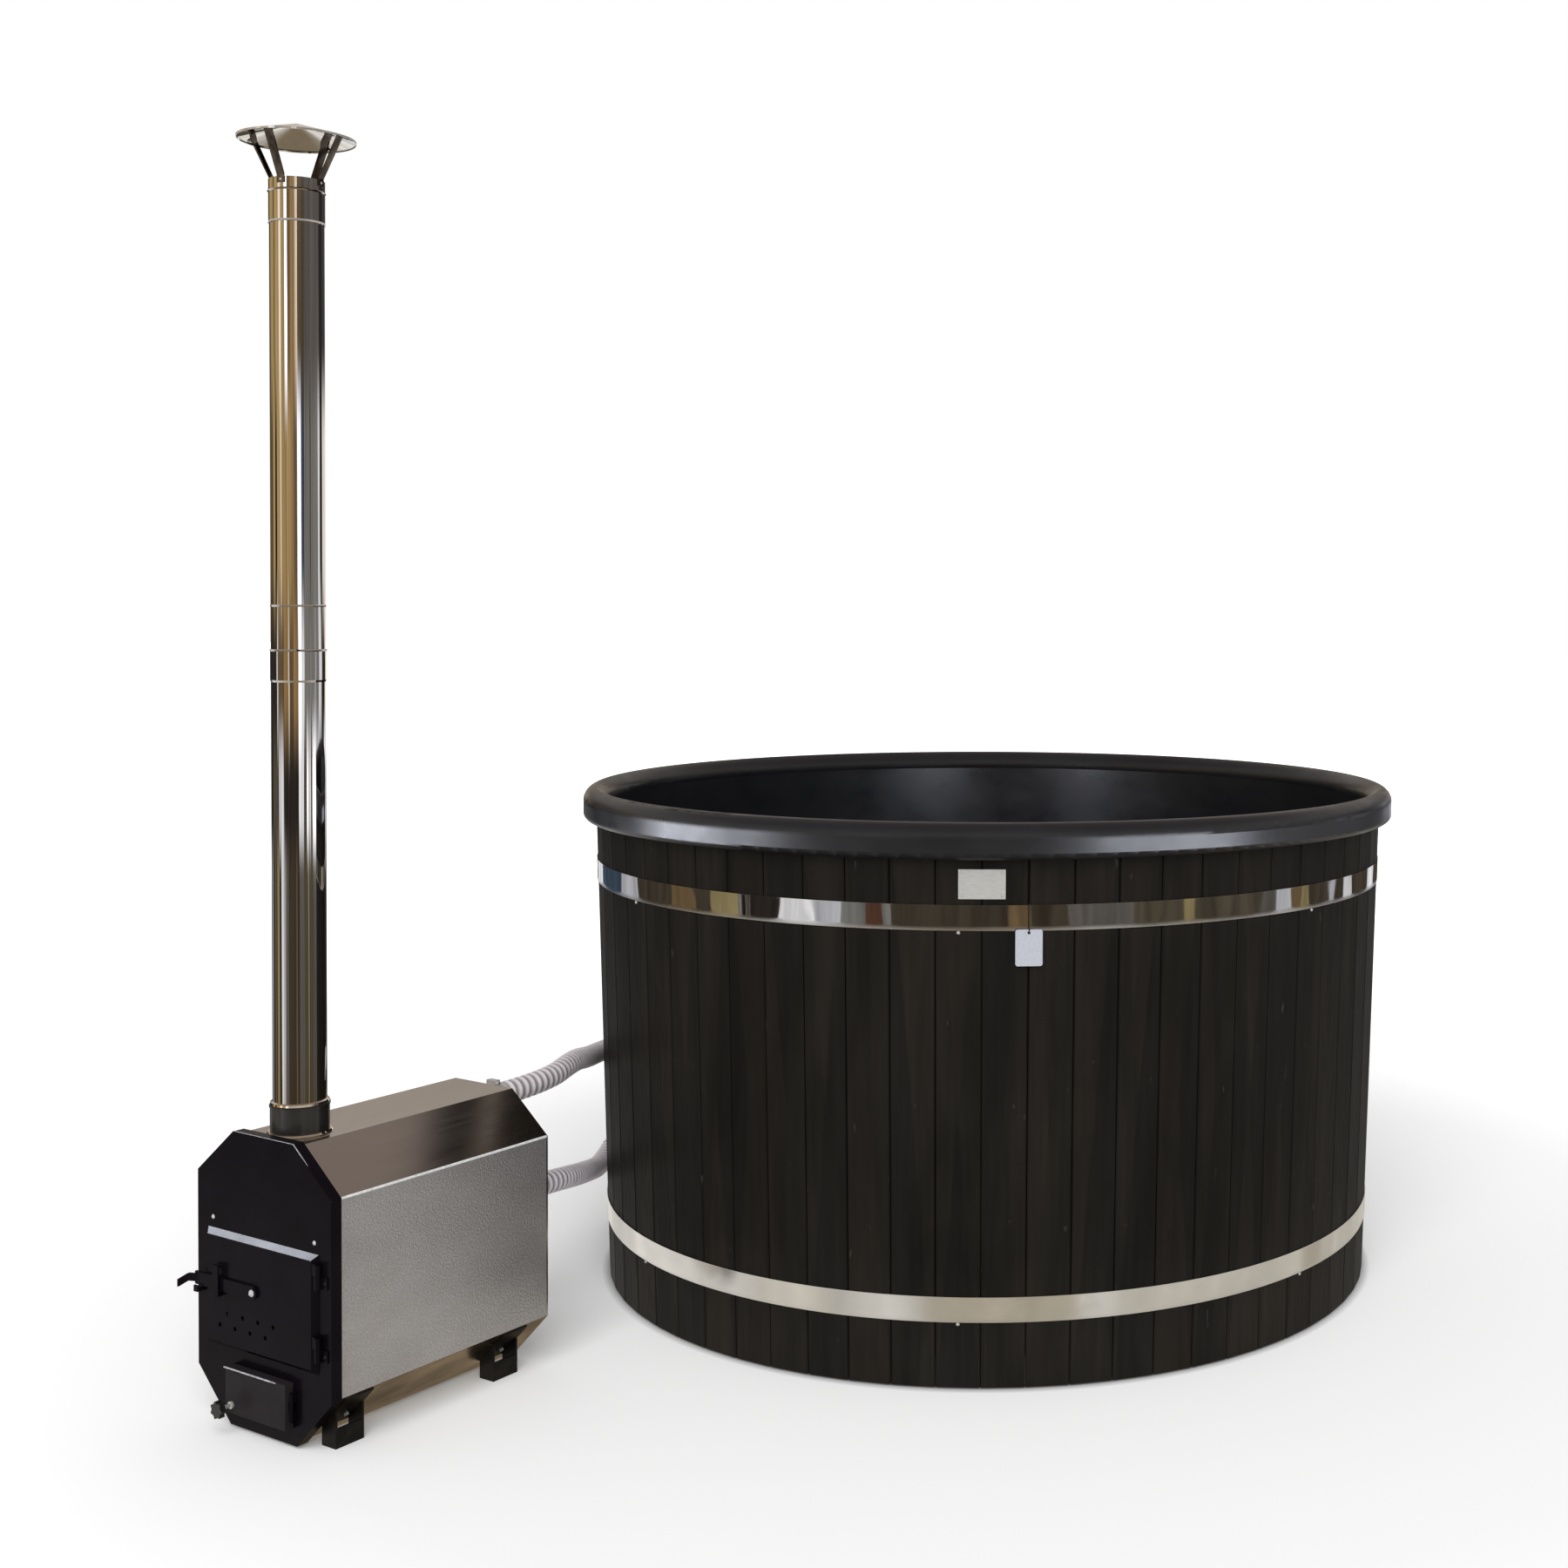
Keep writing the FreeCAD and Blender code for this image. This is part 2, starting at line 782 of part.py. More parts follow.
def make_port_nuts():
    nuts = []
    for z in (upper_port_height, lower_port_height):
        face, normal, along = port_frame(z)
        nut = hexagon(face, normal, port_nut_radius, port_nut_thickness - seat_gap)
        nuts.append(
            nut.cut(rod(face - normal, normal, spigot_radius + pin_clearance, port_nut_thickness + 2.0))
        )
    return Part.makeCompound(nuts)


def make_wall_flange(z):
    """Round inner flange whose back follows the liner, with a slotted strainer across its mouth."""
    face, normal, along = port_frame(z)
    up = normal.cross(along)
    inward = face - normal * (stave_thickness + liner_wall + wall_flange_thickness)
    disc = rod(inward, normal, wall_flange_radius, 2.0 * wall_flange_thickness)
    reach = wall_flange_radius + liner_wall
    liner_side = [
        (liner_inner(z - reach) - seat_gap, z - reach), (tub_wall_radius * 2.0, z - reach),
        (tub_wall_radius * 2.0, z + reach), (liner_inner(z + reach) - seat_gap, z + reach),
    ]
    disc = disc.cut(revolved(liner_side))
    disc = disc.cut(
        rod(
            inward + normal * spigot_wall, normal, spigot_radius + pin_clearance,
            wall_flange_thickness * 2.0,
        )
    )
    pitch = 2.0 * spigot_bore / wall_flange_slots
    for k in range(wall_flange_slots):
        offset = (k - (wall_flange_slots - 1) / 2.0) * pitch
        half = math.sqrt(spigot_bore ** 2 - offset ** 2) - wall_flange_slot_width / 2.0
        start = inward - normal + along * (offset - wall_flange_slot_width / 2.0) - up * half
        slot = Part.makePolygon([
            start, start + along * wall_flange_slot_width,
            start + along * wall_flange_slot_width + up * (2.0 * half), start + up * (2.0 * half), start,
        ])
        disc = disc.cut(Part.Face(slot).extrude(normal * (spigot_wall + 2.0)))
    return disc


# Floor drain

def make_drain():
    top = liner_floor_top
    outer = drain_bore_radius + drain_tube_wall
    centre = (drain_x, drain_y)
    return revolved([
        (drain_bore_radius, liner_bottom - drain_tube_drop), (outer, liner_bottom - drain_tube_drop),
        (outer, top), (drain_flange_radius, top),
        (drain_flange_radius, top + drain_flange_thickness / 2.0),
        (drain_flange_radius - drain_flange_thickness, top + drain_flange_thickness),
        (drain_bore_radius, top + drain_flange_thickness),
    ], centre)


def make_plug():
    """Tapered plug whose head has a recess with a finger bar across it."""
    seat = liner_floor_top + drain_flange_thickness + seat_gap
    body = drain_bore_radius - hole_clearance
    top = seat + plug_head_thickness
    centre = (drain_x, drain_y)
    plug = revolved([
        (0, seat - plug_depth), (body - 2.0, seat - plug_depth), (body, seat), (plug_head_radius, seat),
        (plug_head_radius, top - 2.0), (plug_head_radius - 2.0, top), (0, top),
    ], centre)
    recess = rod(
        (drain_x, drain_y, top - plug_recess_depth), (0, 0, 1), plug_recess_radius,
        plug_recess_depth + 1.0,
    )
    half = plug_grip_width / 2.0
    grip = box(
        (drain_x - half, drain_y - plug_head_radius, seat),
        (drain_x + half, drain_y + plug_head_radius, top + 2.0),
    )
    return plug.cut(recess.cut(grip))


# Stove geometry: u runs across the stove, v back from its front face

def stove_point(u, v, z):
    return Vector(stove_x + u, stove_front_y + v, z)


def stove_box(low, high):
    return box(tuple(stove_point(*low)), tuple(stove_point(*high)))


def octagon(inset):
    """Corners (u, z) of the stove's outline, moved in by inset, from the lower left round."""
    corners = [
        (-stove_bottom_half, stove_bottom), (stove_bottom_half, stove_bottom),
        (stove_half_width, stove_lower_fold), (stove_half_width, stove_upper_fold),
        (stove_top_half, stove_top), (-stove_top_half, stove_top),
        (-stove_half_width, stove_upper_fold), (-stove_half_width, stove_lower_fold),
    ]
    lines = []
    for k, (u0, z0) in enumerate(corners):
        u1, z1 = corners[(k + 1) % len(corners)]
        length = math.hypot(u1 - u0, z1 - z0)
        normal = (-(z1 - z0) / length, (u1 - u0) / length)
        lines.append((normal, normal[0] * u0 + normal[1] * z0 + inset))
    moved = []
    for k in range(len(lines)):
        (a, b), c = lines[k - 1]
        (d, e), f = lines[k]
        det = a * e - b * d
        moved.append(((c * e - b * f) / det, (a * f - c * d) / det))
    return moved


def outline_solid(points, v_from, v_to):
    """Prism of a (u, z) outline between two depths."""
    corners = [stove_point(u, v_from, z) for u, z in points]
    return Part.Face(Part.makePolygon(corners + corners[:1])).extrude(Vector(0, v_to - v_from, 0))


def octagon_tube(inset, wall, v_from, v_to):
    outer = outline_solid(octagon(inset), v_from, v_to)
    return outer.cut(outline_solid(octagon(inset + wall), v_from - 1.0, v_to + 1.0))


def flue_cutter(radius):
    return rod((stove_x, flue_y, 0), (0, 0, 1), radius, upper_flue_height)


def make_front_plate():
    plate = outline_solid(octagon(0.0), 0.0, front_plate_thickness)
    flange = octagon_tube(0.0, front_flange_wall, front_plate_thickness, front_flange_depth)
    plate = fuse([plate, flange])
    through = front_plate_thickness + 1.0
    fire = stove_box(
        (-fire_mouth_half_width, -1.0, fire_mouth_bottom),
        (fire_mouth_half_width, through, fire_mouth_top),
    )
    ash = stove_box(
        (-ash_mouth_half_width, -1.0, ash_mouth_bottom), (ash_mouth_half_width, through, ash_mouth_top),
    )
    return plate.cut(fire).cut(ash)


def casing_ring():
    return octagon_tube(casing_inset, casing_sheet, front_plate_thickness, casing_back)


def casing_folds():
    """Heights of the casing's two folds, where the side panels meet the top and bottom."""
    corners = octagon(casing_inset)
    return corners[2][1], corners[3][1]


def make_casing_top():
    """Folded top sheet with a hem that laps behind the upper edge of each side panel."""
    upper = casing_folds()[1]
    reach = stove_half_width * 2.0
    cover = casing_ring().common(stove_box((-reach, 0.0, upper), (reach, stove_length, stove_top)))
    return fuse(
        [cover] + side_hems(upper - casing_hem, upper)
    ).cut(flue_cutter(collar_outer + hole_clearance))


def make_casing_bottom():
    lower = casing_folds()[0]
    reach = stove_half_width * 2.0
    pan = casing_ring().common(stove_box((-reach, 0.0, stove_bottom), (reach, stove_length, lower)))
    return fuse([pan] + side_hems(lower, lower + casing_hem))


def side_hems(low, high):
    """Strips behind the side panels, one sheet further in."""
    outer = stove_half_width - casing_inset - casing_sheet
    inner = outer - casing_sheet
    spread = casing_sheet * 2.0
    shape = outline_solid(octagon(casing_inset), front_plate_thickness, casing_back)
    hems = []
    for side in (-1.0, 1.0):
        edge = sorted((side * outer, side * inner))
        strip = stove_box(
            (edge[0], front_plate_thickness, low - spread), (edge[1], casing_back, high + spread),
        )
        hems.append(strip.common(shape))
    return hems


def make_side_panel(side):
    lower, upper = casing_folds()
    outer = stove_half_width - casing_inset
    edge = sorted((side * outer, side * (outer - casing_sheet)))
    low = (edge[0], front_plate_thickness, lower + seat_gap)
    return stove_box(low, (edge[1], casing_back, upper - seat_gap))


def make_rear_plate():
    plate = outline_solid(octagon(casing_inset), casing_back, stove_length)
    for z in (upper_spigot_z, lower_spigot_z):
        plate = plate.cut(
            rod(
                stove_point(0, casing_back - 1.0, z), (0, 1, 0), spigot_radius + hole_clearance,
                rear_plate_thickness + 2.0,
            )
        )
    return plate


def make_jacket():
    """Outer wall of the water space, welded between the two end plates."""
    shell = octagon_tube(jacket_inset, jacket_wall, front_plate_thickness, casing_back)
    return shell.cut(flue_cutter(collar_outer + hole_clearance))


def make_firebox():
    """Fire chamber over an ash chamber, open to the front plate, with holes for grate and flue."""
    front = front_plate_thickness
    back = front + firebox_length
    ash_back = front + ash_length
    wall = firebox_wall
    outer = fuse([
        stove_box((-firebox_half_width, front, firebox_bottom), (firebox_half_width, back, firebox_top)),
        stove_box(
            (-ash_half_width, front, ash_bottom), (ash_half_width, ash_back, firebox_bottom + wall),
        ),
    ])
    fire = stove_box(
        (-firebox_half_width + wall, front - 1.0, firebox_bottom + wall),
        (firebox_half_width - wall, back - wall, firebox_top - wall),
    )
    ash = stove_box(
        (-ash_half_width + wall, front - 1.0, ash_bottom + wall),
        (ash_half_width - wall, ash_back - wall, firebox_bottom + 2.0 * wall),
    )
    return outer.cut(fire).cut(ash).cut(flue_cutter(collar_outer + hole_clearance))


def make_grate():
    """Cast grate lying over the ash chamber's mouth."""
    floor = firebox_bottom + firebox_wall
    low = (-grate_half_width, grate_front, floor)
    plate = stove_box(low, (grate_half_width, grate_front + grate_length, floor + grate_thickness))
    pitch = grate_bar + grate_slot
    for k in range(grate_slot_count):
        centre = (k - (grate_slot_count - 1) / 2.0) * pitch
        slot_low = (centre - grate_slot / 2.0, grate_front + 2.0 * grate_bar, floor - 1.0)
        slot_high = (
            centre + grate_slot / 2.0, grate_front + grate_length - 2.0 * grate_bar,
            floor + grate_thickness + 1.0,
        )
        plate = plate.cut(stove_box(slot_low, slot_high))
    return plate


def make_baffle():
    """Plate under the chamber's roof that sends the smoke round its front edge to the flue."""
    half = firebox_half_width - firebox_wall - seat_gap
    back = front_plate_thickness + firebox_length - firebox_wall - seat_gap
    return stove_box(
        (-half, baffle_front_gap, baffle_height), (half, back, baffle_height + baffle_thickness),
    )


# Flue

def flue_part(points):
    return revolved(points, (stove_x, flue_y))


def make_collar():
    """Collar that carries the flue, from the fire chamber's roof to above the casing."""
    top = stove_top + collar_height
    ledge = flue_radius - flue_wall
    ledge_top = stove_top - casing_inset
    return flue_part([
        (ledge, firebox_top - firebox_wall), (collar_outer, firebox_top - firebox_wall),
        (collar_outer, top - collar_lip),
        (collar_outer + collar_lip / 2.0, top - collar_lip), (collar_outer + collar_lip / 2.0, top),
        (collar_inner, top), (collar_inner, ledge_top), (ledge, ledge_top),
    ])


def make_collar_ring():
    """Weld bead round the foot of the collar, on the casing."""
    base = stove_top - casing_inset + seat_gap / 2.0
    inner = collar_outer + seat_gap
    return flue_part([
        (inner, base), (inner + collar_ring_wire * 1.4, base),
        (inner + collar_ring_wire * 1.7, base + collar_ring_wire * 0.5),
        (inner + collar_ring_wire, base + collar_ring_wire * 1.5), (inner, base + collar_ring_wire * 1.5),
    ])


def make_lower_flue():
    """Straight pipe with a rolled bead on the collar, widened at its top into a socket."""
    bottom = stove_top - casing_inset + seat_gap
    stop = stove_top + collar_height + seat_gap
    socket = lower_flue_height - flue_socket
    inner = flue_radius - flue_wall
    step = flue_wall + flue_fit
    taper = 2.0 * flue_bead
    return flue_part([
        (inner, bottom), (flue_radius, bottom), (flue_radius, stop),
        (collar_outer - flue_bead / 2.0, stop), (collar_outer, stop + flue_bead),
        (collar_outer - flue_bead / 2.0, stop + 3.0 * flue_bead), (flue_radius, stop + 4.0 * flue_bead),
        (flue_radius, socket - taper), (flue_radius + step, socket),
        (flue_radius + step, lower_flue_height - 2.0 * flue_bead),
        (flue_radius + step + flue_bead, lower_flue_height - flue_bead),
        (flue_radius + step, lower_flue_height), (flue_radius + flue_fit, lower_flue_height),
        (flue_radius + flue_fit, socket), (inner, socket - taper),
    ])


def make_upper_flue():
    """Pipe that stands in the lower one's socket, with one rolled seam."""
    bottom = lower_flue_height - flue_socket + seat_gap
    inner = flue_radius - flue_wall
    return flue_part([
        (inner, bottom), (flue_radius, bottom), (flue_radius, upper_flue_seam - flue_bead),
        (flue_radius + flue_bead / 2.0, upper_flue_seam), (flue_radius, upper_flue_seam + flue_bead),
        (flue_radius, upper_flue_height), (inner, upper_flue_height),
    ])


def make_cap_sleeve():
    """Short sleeve over the pipe's top with a stop ring inside and a rolled bead outside."""
    inner = flue_radius + flue_fit
    outer = inner + flue_wall
    bead = cap_sleeve_top - (cap_sleeve_top - upper_flue_height) * 1.5
    stop = upper_flue_height + seat_gap
    return flue_part([
        (inner, cap_sleeve_bottom), (outer + flue_bead / 2.0, cap_sleeve_bottom),
        (outer, cap_sleeve_bottom + 2.0 * flue_bead), (outer, bead - flue_bead),
        (outer + flue_bead, bead),
        (outer, bead + flue_bead), (outer, cap_sleeve_top), (flue_radius - flue_wall, cap_sleeve_top),
        (flue_radius - flue_wall, stop), (inner, stop),
    ])


def cap_underside(radius):
    return cap_rim_height + cap_rise * (1.0 - radius / (cap_radius - cap_sheet))


def make_rain_cap():
    """Shallow cone with a small turned-down rim."""
    rim = cap_sheet * 2.0
    return flue_part([
        (0, cap_rim_height + cap_rise), (cap_radius - cap_sheet, cap_rim_height),
        (cap_radius - cap_sheet, cap_rim_height - rim),
        (cap_radius, cap_rim_height - rim), (cap_radius, cap_rim_height + cap_sheet),
        (0, cap_rim_height + cap_rise + cap_sheet),
    ])


def strap_sleeve_face():
    return flue_radius + flue_fit + flue_wall + seat_gap / 2.0


def strap_outline():
    """Strap in (r, z): flat on the sleeve, flaring out to lie under the cap."""
    foot = strap_sleeve_face()
    low = cap_sleeve_top - strap_overlap * 0.35
    bend = cap_sleeve_top + strap_thickness * 2.0
    high = cap_underside(strap_reach) - seat_gap
    end = strap_reach + strap_overlap * 0.25
    return [
        (foot, low), (foot + strap_thickness, low), (foot + strap_thickness, bend),
        (strap_reach + strap_thickness, high - strap_thickness * 2.0),
        (end, cap_underside(end) - seat_gap - strap_thickness),
        (end, cap_underside(end) - seat_gap),
        (strap_reach - strap_thickness, cap_underside(strap_reach - strap_thickness) - seat_gap),
        (foot, bend + strap_thickness),
    ]


def strap_angles():
    return [strap_first_angle + k * 360.0 / strap_count for k in range(strap_count)]


def turned_to(shape, degrees):
    """Turn a shape made on the +X side round the flue, and set it on the flue's axis."""
    shape.rotate(Vector(0, 0, 0), Vector(0, 0, 1), degrees)
    shape.translate(Vector(stove_x, flue_y, 0))
    return shape


def make_straps():
    straps = []
    hollow = flue_radius + flue_fit + flue_wall + seat_gap / 4.0
    cap_space = revolved([
        (0, cap_underside(0) - seat_gap), (cap_radius, cap_underside(cap_radius) - seat_gap),
        (cap_radius, cap_rim_height + 2.0 * cap_rise), (0, cap_rim_height + 2.0 * cap_rise),
    ])
    for degrees in strap_angles():
        points = [Vector(r, -strap_width / 2.0, z) for r, z in strap_outline()]
        strap = Part.Face(Part.makePolygon(points + points[:1])).extrude(Vector(0, strap_width, 0))
        strap = strap.cut(rod((0, 0, 0), (0, 0, 1), hollow, cap_sleeve_top + 1.0)).cut(cap_space)
        straps.append(turned_to(strap, degrees))
    return Part.makeCompound(straps)


def make_rivets():
    rivets = []
    face = strap_sleeve_face() + strap_thickness
    for degrees in strap_angles():
        rivets.append(
            turned_to(
                dome(
                    (face, 0, cap_sleeve_top - strap_overlap * 0.17), (1, 0, 0), rivet_radius,
                    rivet_height,
                ),
                degrees,
            )
        )
    return Part.makeCompound(rivets)


# Feet

def chamfer_height(u, inset):
    """Height of the stove's lower sloping face at u, moved in by inset."""
    corners = octagon(inset)
    (u0, z0), (u1, z1) = corners[1], corners[2]
    return z0 + (abs(u) - u0) * (z1 - z0) / (u1 - u0)


def foot_depths():
    return foot_setback, stove_length - foot_rear_margin - foot_length


def make_foot(side, v):
    """Folded bracket: two gussets, a low side plate and a flange under the sloping casing."""
    def sloped(u, drop):
        return chamfer_height(u, casing_inset) - drop
    tip = foot_outer + foot_flange_reach
    gusset = [
        (foot_inner, 0.0), (foot_outer, 0.0), (foot_outer, sloped(foot_outer, seat_gap)),
        (foot_inner, sloped(foot_inner, seat_gap)),
    ]
    flange = [
        (foot_inner, sloped(foot_inner, seat_gap)), (foot_inner, sloped(foot_inner, foot_sheet)),
        (tip, sloped(tip, foot_sheet)), (tip, sloped(tip, seat_gap)),
    ]
    side_plate = [
        (foot_outer - foot_sheet, 0.0), (foot_outer, 0.0), (foot_outer, foot_side_height),
        (foot_outer - foot_sheet, foot_side_height),
    ]
    sole = [(foot_inner, 0.0), (foot_outer, 0.0), (foot_outer, foot_sheet), (foot_inner, foot_sheet)]
    pieces = []
    for outline, v_from, v_to in (
        (gusset, v, v + foot_sheet), (gusset, v + foot_length - foot_sheet, v + foot_length),
        (flange, v, v + foot_length), (side_plate, v, v + foot_length), (sole, v, v + foot_length),
    ):
        pieces.append(outline_solid([(side * u, z) for u, z in outline], v_from, v_to))
    return fuse(pieces)


def make_foot_bolts():
    """Bolt heads under the flange of each foot."""
    bolts = []
    corners = octagon(casing_inset)
    slope = Vector(corners[2][0] - corners[1][0], 0, corners[2][1] - corners[1][1]).normalize()
    for v in foot_depths():
        for side in (-1.0, 1.0):
            u = (foot_inner + foot_outer) / 2.0
            base = stove_point(
                side * u, v + foot_length * 0.6, chamfer_height(u, casing_inset) - foot_sheet,
            )
            down = Vector(side * slope.z, 0, -slope.x)
            bolts.append(hexagon(base, down, foot_bolt_radius, foot_bolt_height))
    return Part.makeCompound(bolts)


# Fire door

def frustum(half, bottom, top, v_back, v_front, bevel):
    """Panel with bevelled sides: a rectangle at the back and a smaller one at the front."""
    wires = []
    for v, inset in ((v_back, 0.0), (v_front, bevel)):
        corners = [
            stove_point(-half + inset, v, bottom + inset), stove_point(half - inset, v, bottom + inset),
            stove_point(half - inset, v, top - inset), stove_point(-half + inset, v, top - inset),
        ]
        wires.append(Part.makePolygon(corners + corners[:1]))
    return Part.makeLoft(wires, True, True)


def door_block():
    return frustum(door_half_width, door_bottom, door_top, -door_gap, door_face, door_bevel)


def front_hole(u, z, radius):
    return rod(stove_point(u, ash_door_face * 2.0, z), (0, 1, 0), radius, -ash_door_face * 4.0)


def make_fire_door():
    """Pressed door panel, hollow behind, with two rows of air holes."""
    inner = frustum(
        door_half_width - door_sheet, door_bottom + door_sheet, door_top - door_sheet,
        -door_gap, door_face + door_sheet, door_bevel * (1.0 - door_sheet / door_proud),
    )
    door = door_block().cut(inner)
    for start, z in air_rows:
        for k in range(air_hole_count):
            door = door.cut(front_hole(start + k * air_hole_pitch, z, air_hole_radius))
    return door.cut(front_hole(latch_pivot_u, latch_height, latch_bolt_radius + pin_clearance))


def ring_frame(half, bottom, top, width, v_from, v_to):
    """Rectangular ring, given by its inner opening."""
    outer = stove_box((-half - width, v_from, bottom - width), (half + width, v_to, top + width))
    return outer.cut(stove_box((-half, v_from - 1.0, bottom), (half, v_to + 1.0, top)))


def make_gasket():
    """Rope seal between the door's face and the rim of the fire mouth."""
    back = door_face + door_sheet + seat_gap
    return ring_frame(
        fire_mouth_half_width + gasket_overhang, fire_mouth_bottom - gasket_overhang,
        fire_mouth_top + gasket_overhang, gasket_width, back, -door_gap / 2.0,
    )


def make_heat_shield():
    """Plate inside the fire mouth, carried by four posts behind the door's face."""
    half = fire_mouth_half_width - shield_gap
    bottom = fire_mouth_bottom + shield_gap
    top = fire_mouth_top - shield_gap
    shield = stove_box((-half, shield_depth - shield_thickness, bottom), (half, shield_depth, top))
    inside = door_face + door_sheet
    posts = []
    for u in (-half + shield_post_inset, half - shield_post_inset):
        for z in (bottom + shield_post_inset, top - shield_post_inset):
            posts.append(
                rod(stove_point(u, inside, z), (0, 1, 0), shield_post_radius, shield_depth - inside)
            )
    return fuse([shield] + posts)


def hinge_bore(z):
    return rod(
        stove_point(hinge_u, hinge_v, z - 1.0), (0, 0, 1), hinge_pin_radius + pin_clearance,
        hinge_length + 2.0,
    )


def make_door_knuckles():
    """Upper half of each hinge, with a leaf that lies against the door's bevel."""
    knuckles = []
    half_length = (hinge_length - hinge_split_gap) / 2.0
    for z in hinge_heights:
        low = z + hinge_length - half_length
        barrel = rod(stove_point(hinge_u, hinge_v, low), (0, 0, 1), hinge_barrel_radius, half_length)
        leaf = stove_box(
            (hinge_u - hinge_leaf_width, hinge_v - hinge_leaf_thickness / 2.0, low),
            (hinge_u, hinge_v + hinge_leaf_thickness / 2.0, low + half_length),
        )
        knuckles.append(fuse([barrel, leaf]).cut(door_block()).cut(hinge_bore(z)))
    return Part.makeCompound(knuckles)


def make_plate_knuckles():
    """Lower half of each hinge, with a leaf screwed to the front plate."""
    knuckles = []
    half_length = (hinge_length - hinge_split_gap) / 2.0
    for z in hinge_heights:
        barrel = rod(stove_point(hinge_u, hinge_v, z), (0, 0, 1), hinge_barrel_radius, half_length)
        arm = stove_box((hinge_u, hinge_v, z), (hinge_u + hinge_barrel_radius, 0.0, z + half_length))
        leaf = stove_box(
            (hinge_u, -hinge_leaf_thickness, z), (hinge_u + hinge_leaf_width, 0.0, z + half_length),
        )
        knuckles.append(fuse([barrel, arm, leaf]).cut(hinge_bore(z)))
    return Part.makeCompound(knuckles)


def make_hinge_pins():
    pins = []
    for z in hinge_heights:
        pin = rod(stove_point(hinge_u, hinge_v, z), (0, 0, 1), hinge_pin_radius, hinge_length)
        head = rod(
            stove_point(hinge_u, hinge_v, z - hinge_pin_cap), (0, 0, 1), hinge_barrel_radius * 0.8,
            hinge_pin_cap,
        )
        pins.append(fuse([pin, head]))
    return Part.makeCompound(pins)


def make_front_screws():
    """Round heads on the front plate: two above the door and one in each hinge leaf."""
    heads = []
    for side in (-1.0, 1.0):
        heads.append(
            dome(
                stove_point(side * front_screw_u, 0, front_screw_z), (0, -1, 0), front_screw_radius,
                front_screw_height,
            )
        )
    for z in hinge_heights:
        u = hinge_u + hinge_leaf_width * 0.7
        base = stove_point(u, -hinge_leaf_thickness, z + hinge_length * 0.25)
        heads.append(dome(base, (0, -1, 0), leaf_screw_radius, leaf_screw_height))
    return Part.makeCompound(heads)


# Latch

def latch_section(u, outward, rise):
    """Upright rectangle across the handle's tip, moved out and up from the bar's middle."""
    half_thickness = latch_bar_thickness / 2.0
    half_height = latch_tip_height / 2.0
    v = latch_front + half_thickness + outward
    z = latch_height + rise
    corners = []
    for dv, dz in ((-1.0, -1.0), (1.0, -1.0), (1.0, 1.0), (-1.0, 1.0)):
        corners.append(stove_point(u, v + dv * half_thickness, z + dz * half_height))
    return Part.makePolygon(corners + corners[:1])


def make_latch_bar():
    """Flat bar with a round pivot end and a narrower tip that bends out as the handle."""
    low = latch_height - latch_bar_height / 2.0
    high = latch_height + latch_bar_height / 2.0
    bar = stove_box((latch_straight_end, latch_front, low), (latch_pivot_u, latch_back, high))
    eye = rod(
        stove_point(latch_pivot_u, latch_front, latch_height), (0, 1, 0), latch_bar_height / 2.0,
        latch_bar_thickness,
    )
    stations = [(latch_straight_end + latch_bar_thickness, 0.0, 0.0)] + list(latch_tip)
    tip = Part.makeLoft([latch_section(*station) for station in stations], True, True)
    handle = fuse([bar, eye, tip])
    return handle.cut(front_hole(latch_pivot_u, latch_height, latch_bolt_radius + pin_clearance))


def make_latch_bolt():
    """Pivot bolt: head outside the bar, shank through bar and door."""
    start = stove_point(latch_pivot_u, latch_front - seat_gap, latch_height)
    shank = rod(start, (0, 1, 0), latch_bolt_radius, door_face + door_sheet - latch_front + seat_gap)
    head = dome(start, (0, -1, 0), latch_bolt_head, latch_bolt_head_height)
    return fuse([shank, head])


def make_latch_guide():
    """Staple on the door's face that the latch bar moves in."""
    low = latch_height - latch_bar_height / 2.0 - guide_bottom_room
    high = latch_height + latch_bar_height / 2.0 + guide_top_room
    front = latch_front - guide_front_room
    left = guide_u - guide_width / 2.0
    right = guide_u + guide_width / 2.0
    outer = stove_box(
        (left, front - guide_sheet, low - guide_sheet), (right, door_face, high + guide_sheet),
    )
    return outer.cut(stove_box((left - 1.0, front, low), (right + 1.0, 0.0, high)))


def make_latch_catch():
    """Hook on the front plate beside the door. The bar rests just above its lip and drops behind it."""
    lip_top = latch_height - latch_bar_height / 2.0 - seat_gap * 2.0
    floor = lip_top - catch_drop
    lip = latch_front - catch_room
    left = catch_u - catch_width / 2.0
    right = catch_u + catch_width / 2.0
    hook = stove_box((left, lip - catch_sheet, floor - catch_sheet), (right, 0.0, lip_top))
    return hook.cut(stove_box((left - 1.0, lip, floor), (right + 1.0, -catch_sheet, lip_top + 1.0)))


# Ash door

def ash_block():
    return stove_box(
        (-ash_door_half_width, ash_door_face, ash_door_bottom),
        (ash_door_half_width, -door_gap, ash_door_top),
    )


def make_ash_door():
    """Shallow pan, open behind, with a folded lip along its upper edge and a hole for the knob's shaft."""
    sheet = ash_door_sheet
    hollow = stove_box(
        (-ash_door_half_width + sheet, ash_door_face + sheet, ash_door_bottom + sheet),
        (ash_door_half_width - sheet, 0.0, ash_door_top - sheet),
    )
    lip = stove_box(
        (-ash_door_half_width, ash_door_face - ash_lip_depth, ash_door_top - ash_lip_height),
        (ash_lip_end, ash_door_face, ash_door_top),
    )
    pan = fuse([ash_block().cut(hollow), lip])
    return pan.cut(front_hole(knob_u, knob_z, knob_shaft_radius + pin_clearance))


def ash_hinge_axis(z):
    return stove_point(ash_door_half_width + ash_hinge_offset, (ash_door_face - door_gap) / 2.0, z)


